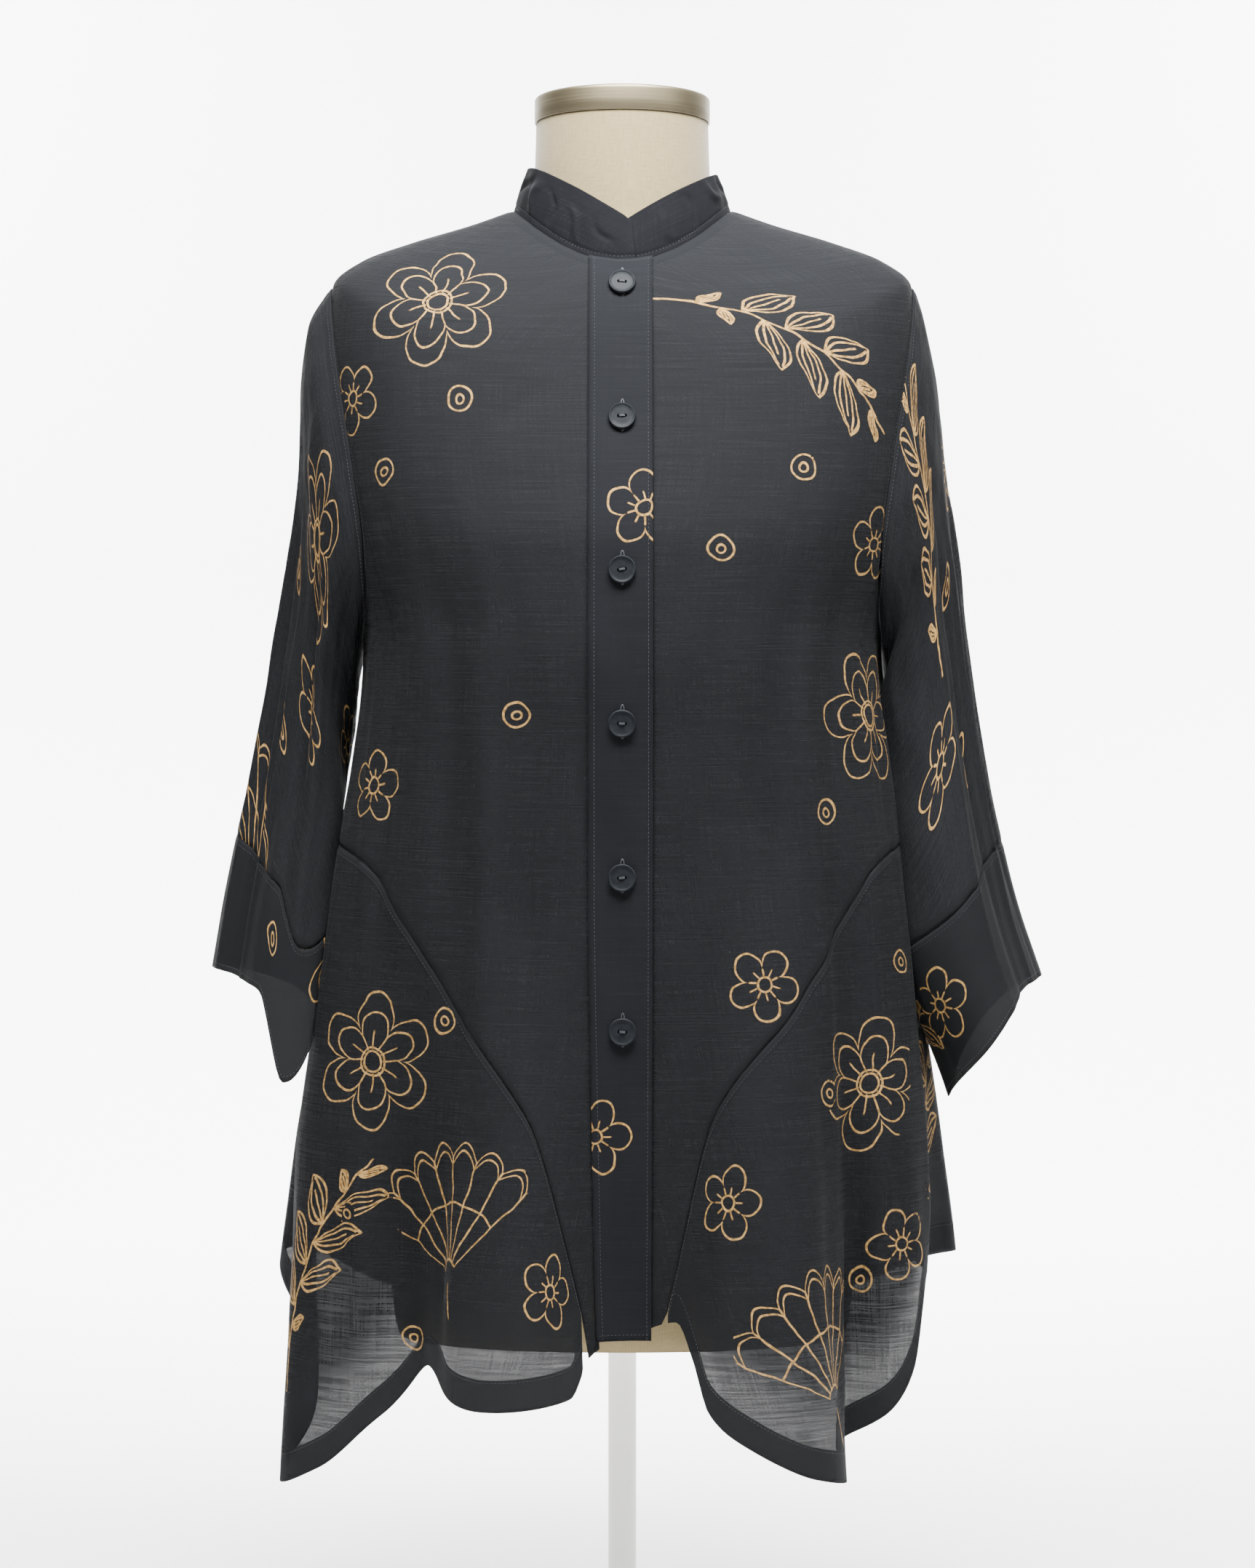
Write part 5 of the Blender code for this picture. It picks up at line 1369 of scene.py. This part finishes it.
buttonLook = {
    "levels": (0.981, 0.888, 0.786, 0.683, 0.579, 0.475),
    "leans": (-7, 4, 9, -3, 6, -5),  # degrees that each is turned on its thread
    "radius": 0.0094,
    "height": 0.0027,
    "rim": 0.0016,
    "steps": 56,
    "colour": (0.0095, 0.0108, 0.0125),
    "holeRadius": 0.00125,
    "holeOffset": 0.0021,
    "lift": 0.0027,
    "threadAt": 0.0021,  # height of the threads over the button's foot
    "threadRise": 0.00035,
    "threadRadius": 0.00026,
    "strands": (-0.00042, 0.0, 0.00042),
    "holeLength": 0.0225,  # of the buttonhole, which shows above and below the button
    "holeWidth": 0.0023,
    "holeUp": 0.0011,
    "holeAcross": 0.0003,
    "edgeRadius": 0.00052,
    "edgeLift": 0.00035,
}


def buttonFrame(level):
    # Place and axes of a button: across, up the band, and out along the cloth's normal.
    place, normal = drapedBody(np.array(0.0), np.array(level), buttonLook["lift"])
    upwards = unit(np.cross(normal, np.array([1.0, 0.0, 0.0])))
    return place, np.stack([np.cross(upwards, normal), upwards, normal])


def buttonMaterial():
    # Matte slate: faint clouding over one grey.
    graph = Graph("slateButton", {"Specular IOR Level": 0.05})
    cloud = graph.noise(graph.add("ShaderNodeTexCoord", {}, (), "Object"), 3.0, 0.6, scale=260.0)
    dark, pale = ((*(part * share for part in buttonLook["colour"]), 1) for share in (0.85, 1.2))
    graph.into("Base Color", graph.mix(cloud.ramp(0.3, 0.7), dark, pale))
    graph.into("Roughness", 0.40 + cloud * 0.14)
    return graph.material


materials["button"] = buttonMaterial()


def meshFrom(shape, name):
    # A mesh from a finished bmesh, which is freed.
    mesh = bpy.data.meshes.new(name)
    shape.to_mesh(mesh)
    shape.free()
    return mesh


def inSetOrder(mesh):
    # The same mesh with its points sorted by place and its faces by their points, as a Boolean's own order varies.
    places = np.round([vertex.co[:] for vertex in mesh.vertices], 8)
    order = np.lexsort(places.T)
    rank = np.argsort(order)
    faces = []
    for face in mesh.polygons:
        corners = rank[list(face.vertices)]
        faces.append(np.roll(corners, -np.argmin(corners)).tolist())
    made = bpy.data.meshes.new(mesh.name)
    made.from_pydata(places[order].tolist(), [], sorted(faces))
    return made


def buttonShell():
    # A turned disc with a rounded edge and a dished face; two holes are cut with a Boolean and applied.
    look = buttonLook
    r, h, rim = look["radius"], look["height"], look["rim"]
    profile = [(0.0, 0.0), (r * 0.72, 0.0), (r * 0.93, 0.0004), (r * 0.985, 0.0009), (r, 0.0014), (r * 0.99, 0.0020),
               (r * 0.965, 0.00245), (r * 0.93, h), (r * 0.89, h - 0.00005), (r - rim, h - 0.0005),
               (r - rim * 1.4, h - 0.00072), (r * 0.55, h - 0.0008), (0.0, h - 0.0008)]
    shape = bmesh.new()
    corners = [shape.verts.new((radius, 0, z)) for radius, z in profile]
    edges = [shape.edges.new(pair) for pair in zip(corners[:-1], corners[1:])]
    bmesh.ops.spin(shape, geom=corners + edges, axis=(0, 0, 1), cent=(0, 0, 0), angle=2 * math.pi,
                   steps=look["steps"])
    bmesh.ops.remove_doubles(shape, verts=shape.verts, dist=1e-6)
    bmesh.ops.recalc_face_normals(shape, faces=shape.faces)
    shell = addObject("buttonShell", meshFrom(shape, "buttonShell"))
    for offset in (-look["holeOffset"], look["holeOffset"]):
        shape = bmesh.new()
        bmesh.ops.create_cone(shape, cap_ends=True, segments=20, radius1=look["holeRadius"],
                              radius2=look["holeRadius"], depth=0.02)
        bmesh.ops.translate(shape, vec=(offset, 0, 0), verts=shape.verts)
        cutter = addObject("hole", meshFrom(shape, "hole"))
        tool = shell.modifiers.new("hole", "BOOLEAN")
        tool.operation, tool.object, tool.solver = "DIFFERENCE", cutter, "EXACT"
        evaluated = shell.evaluated_get(bpy.context.evaluated_depsgraph_get())
        cutMesh = bpy.data.meshes.new_from_object(evaluated)
        shell.modifiers.clear()
        shell.data = cutMesh
        bpy.data.objects.remove(cutter)
    bpy.data.objects.remove(shell)
    return inSetOrder(cutMesh)


def tube(path, radius, corners, normal, closed=False):
    # Rings round a path in the plane square to it, with the given normal as one of their axes.
    ahead = np.roll(path, -1, axis=0) - np.roll(path, 1, axis=0) if closed else np.gradient(path, axis=0)
    ahead = unit(ahead)
    beside = unit(np.cross(ahead, np.broadcast_to(normal, path.shape)))
    outwards = np.cross(beside, ahead)
    turn = np.linspace(0, 2 * math.pi, corners, endpoint=False)[:, None]
    points = path[:, None] + (beside[:, None] * np.cos(turn) + outwards[:, None] * np.sin(turn)) * radius
    index = wrapped(np.arange(len(path) * corners).reshape(len(path), corners))
    if closed:
        faces = gridFaces(np.concatenate([index, index[:1]]))
    else:
        ends = []
        for row, way in ((0, 1), (-1, -1)):
            ring = index[row]
            ends += [(ring[0], ring[k], ring[k + 1], ring[k + 2])[::way] for k in range(1, corners - 2, 2)]
        faces = np.concatenate([gridFaces(index), np.array(ends)])
    return points.reshape(-1, 3), faces


def turnedOut(name, vertices, faces, slot):
    # A piece of thread made of many small shapes, each turned right way out.
    piece = meshPiece(name, vertices, faces, materials["thread"])
    shape = bmesh.new()
    shape.from_mesh(piece.data)
    bmesh.ops.recalc_face_normals(shape, faces=shape.faces)
    shape.to_mesh(piece.data)
    shape.free()


def joined(parts):
    # Vertices and faces of many small shapes as one mesh.
    starts = np.cumsum([0] + [len(places) for places, _ in parts])
    faces = [corners + start for (_, corners), start in zip(parts, starts)]
    return np.concatenate([places for places, _ in parts]), np.concatenate(faces)


shell = buttonShell()
threads, holes = [], []
reach = np.linspace(-1, 1, 9)
turn = np.linspace(0, 2 * math.pi, 48, endpoint=False)
ovalX = buttonLook["holeWidth"] / 2 * np.cos(turn)
ovalY = np.sign(np.sin(turn)) * np.abs(np.sin(turn)) ** 0.5 * buttonLook["holeLength"] / 2 + buttonLook["holeUp"]
for number, (level, lean) in enumerate(zip(buttonLook["levels"], buttonLook["leans"]), 1):
    place, axes = buttonFrame(level)
    cosine, sine = math.cos(math.radians(lean)), math.sin(math.radians(lean))
    turned = np.stack([axes[0] * cosine + axes[1] * sine, axes[1] * cosine - axes[0] * sine, axes[2]])
    mesh = shell.copy()
    corners = np.empty(len(mesh.vertices) * 3)
    mesh.vertices.foreach_get("co", corners)
    fill(mesh.vertices, "co", corners.reshape(-1, 3) @ turned + place)
    fill(mesh.polygons, "use_smooth", np.ones(len(mesh.polygons)), bool)
    mesh.set_sharp_from_angle(angle=math.radians(38))
    mesh.materials.clear()
    mesh.materials.append(materials["button"])
    piece = addObject(f"button{number}", mesh)
    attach(piece, "root")
    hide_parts(f"button_{number}")
    for strand in buttonLook["strands"]:
        high = buttonLook["threadAt"] + buttonLook["threadRise"] * (1 - reach ** 4)
        local = np.stack([reach * buttonLook["holeOffset"], np.full_like(reach, strand), high], axis=-1)
        threads.append(tube(local @ turned + place, buttonLook["threadRadius"], 6, turned[2]))
    lift = bands["step"] + bands["thick"] / 2 + buttonLook["edgeLift"]
    holeAngle = angleAtX(ovalX + buttonLook["holeAcross"], np.full_like(turn, level))
    path, normal = drapedBody(holeAngle, level + ovalY * axes[1][2], lift)
    holes.append(tube(path, buttonLook["edgeRadius"], 8, normal, closed=True))
turnedOut("buttonThread", *joined(threads), "band_cloth")
turnedOut("buttonholes", *joined(holes), "band_cloth")
print("buttons built")

stitchLook = {
    "pitch": 0.0027,
    "length": 0.0019,
    "wide": 0.00021,
    "tall": 0.00022,
    "lift": 0.00003,
    # distance of each line of stitches from its edge
    "hem": 0.0195,
    "seam": 0.0050,
    "cuffSeam": 0.0045,
    "sleeveEdges": 0.0040,
    "bandRight": 0.0042,
    "bandLeft": 0.0030,
    "bandHem": 0.004,
}


def alongLine(at, run, values):
    # Places, or normals, read at lengths along a line.
    return np.stack([np.interp(at, run, values[:, k]) for k in range(3)], axis=1)


def stitches(name, lines, slot):
    # Small eight-faced beads laid along each line at even steps, their long way along it.
    pitch, length, wide, tall = (stitchLook[word] for word in ("pitch", "length", "wide", "tall"))
    beads = []
    for path, normal in lines:
        run = runAlong(path, 0)
        at = np.arange(pitch, run[-1] - pitch / 2, pitch)
        centre, front, rear = (alongLine(at + share * length, run, path) for share in (0, 0.5, -0.5))
        out = unit(alongLine(at, run, normal))
        beside = unit(np.cross(front - rear, out)) * wide
        beads.append(np.stack([rear, front, centre + beside, centre - beside, centre + out * tall,
                               centre - out * tall * 0.6], axis=1))
    beads = np.concatenate(beads)
    corners = np.array([(0, 2, 4), (0, 4, 3), (0, 3, 5), (0, 5, 2), (1, 4, 2), (1, 3, 4), (1, 5, 3), (1, 2, 5)])
    faces = (np.arange(len(beads))[:, None, None] * 6 + corners).reshape(-1, 3)
    turnedOut(name, beads.reshape(-1, 3), faces, slot)
    return len(faces)


def rowAt(points, normals, distance, fromEnd, lift):
    # The line a set distance from the last row (or the first), with its normals: linear between rows.
    order = slice(None, None, -1 if fromEnd else 1)
    points, normals = points[order], normals[order]
    run = runAlong(points, 0)
    row = np.clip((run < distance).sum(axis=0), 1, len(run) - 1)
    columns = np.arange(points.shape[1])
    before, after = run[row - 1, columns], run[row, columns]
    share = np.clip((distance - before) / np.maximum(after - before, 1e-9), 0, 1)[:, None]
    place, normal = (grid[row - 1, columns] * (1 - share) + grid[row, columns] * share for grid in (points, normals))
    return place + unit(normal) * lift, unit(normal)


def columnAt(points, normals, *rest):
    # The same for a line beside the first or last column.
    return rowAt(points.transpose(1, 0, 2), normals.transpose(1, 0, 2), *rest)


clothLines = []
half = blouse["wall"] / 2 + stitchLook["lift"]
for word, side in sides:
    flare, front = grids["flare" + word][:2], grids["front" + word][:2]
    upper = [wrapped(grid[: sleeves["rows"]]) for grid in grids["sleeve" + word]]
    lower = [wrapped(grid[sleeves["rows"] - 1 :]) for grid in grids["sleeve" + word]]
    clothLines += [
        rowAt(*flare, stitchLook["hem"], True, half),
        rowAt(*flare, stitchLook["seam"], False, half),
        columnAt(*front, stitchLook["seam"], side > 0, half),
        rowAt(*lower, stitchLook["cuffSeam"], False, half),
        rowAt(*lower, stitchLook["sleeveEdges"], True, half),
        rowAt(*upper, stitchLook["sleeveEdges"], False, half),
    ]
half = bands["thick"] / 2 + stitchLook["lift"]
bandLines = [
    columnAt(*grids["bandOver"], stitchLook["bandRight"], False, half),
    columnAt(*grids["bandOver"], stitchLook["bandLeft"], True, half),
    rowAt(*grids["bandOver"], stitchLook["bandHem"], True, half),
    rowAt(*grids["collarBand"], collarLook["stitchedAt"], True, collarLook["thick"] / 2 + stitchLook["lift"]),
]
print("stitches:", stitches("seamStitches", clothLines, "cloth"), stitches("bandStitches", bandLines, "band_cloth"))

studio = {
    "camera": (0.00375, -2.6, 0.642),
    "frameHeight": 1.117,  # metres seen from bottom to top at the blouse's middle
    "sensor": 24,
    "floorFrom": -4.5,
    "wallAt": 3.6,
    "wallHigh": 5.0,
    "bend": 1.0,
    "wide": 6.0,
    "paper": 0.93,
    "ambient": 0.06,  # strength of the world's light
    "beyond": 3.0,  # brightness past the paper's edges, which lights nothing
    # place, target, width and height, watts, spread in degrees
    "lamps": {
        "key": ((2.1, -1.3, 1.5), (0, 0, 0.65), (0.8, 1.0), 14, 180),
        "top": ((0.05, -0.62, 1.95), (0, -0.10, 0.95), (1.0, 0.4), 165, 180),
        "floor": ((0, 1.9, 2.4), (0, 1.4, 0), (2.4, 1.2), 60, 110),
        "paperLeft": ((-2.4, 2.2, 2.6), (-0.1, 3.6, 0.7), (1.2, 2.0), 330, 130),
        "paperRight": ((2.4, 2.2, 2.6), (0.1, 3.6, 0.7), (1.2, 2.0), 330, 130),
    },
}


def backdrop():
    # A floor that bends up into a wall: quarter circle between a level and an upright stretch.
    turn, bend = np.linspace(0, math.pi / 2, 24), studio["bend"]
    y = np.concatenate([[studio["floorFrom"], 0.0], studio["wallAt"] - bend + bend * np.sin(turn), [studio["wallAt"]]])
    z = np.concatenate([[0.0, 0.0], bend * (1 - np.cos(turn)), [studio["wallHigh"]]])
    x = np.array([-studio["wide"], studio["wide"]])
    points = np.stack(np.broadcast_arrays(x[None], y[:, None], z[:, None]), axis=-1)
    index = np.arange(points.size // 3).reshape(points.shape[:2])
    mesh = bpy.data.meshes.new("backdrop")
    mesh.from_pydata(points.reshape(-1, 3).tolist(), [], gridFaces(index)[:, ::-1].tolist())
    mesh.shade_smooth()
    mesh.materials.append(plainMaterial("paper", [studio["paper"]] * 3, 0.9))
    addObject("backdrop", mesh)


backdrop()
for name, (place, target, size, power, spread) in studio["lamps"].items():
    light = bpy.data.lights.new(name, "AREA")
    light.spread, light.energy = math.radians(spread), power
    light.shape, light.size, light.size_y = "RECTANGLE", *size
    aim = (Vector(target) - Vector(place)).to_track_quat("-Z", "Y")
    addObject(name, light).matrix_world = Matrix.Translation(place) @ aim.to_matrix().to_4x4()

world = bpy.data.worlds.new("studio")
world.use_nodes = True
sky = world.node_tree.nodes["Background"]
sky.inputs["Color"].default_value = (1, 1, 1, 1)
seen = world.node_tree.nodes.new("ShaderNodeLightPath")
strength = world.node_tree.nodes.new("ShaderNodeMapRange")
strength.inputs["To Min"].default_value = studio["ambient"]
strength.inputs["To Max"].default_value = studio["beyond"]
world.node_tree.links.new(seen.outputs["Is Camera Ray"], strength.inputs["Value"])
world.node_tree.links.new(strength.outputs["Result"], sky.inputs["Strength"])
bpy.context.scene.world = world

lens = bpy.data.cameras.new("camera")
lens.sensor_fit, lens.sensor_height = "VERTICAL", studio["sensor"]
lens.lens = studio["sensor"] * -studio["camera"][1] / studio["frameHeight"]
camera = addObject("camera", lens)
camera.location = studio["camera"]
camera.rotation_euler = (math.pi / 2, 0, 0)
bpy.context.scene.camera = camera
print("lights and camera set")
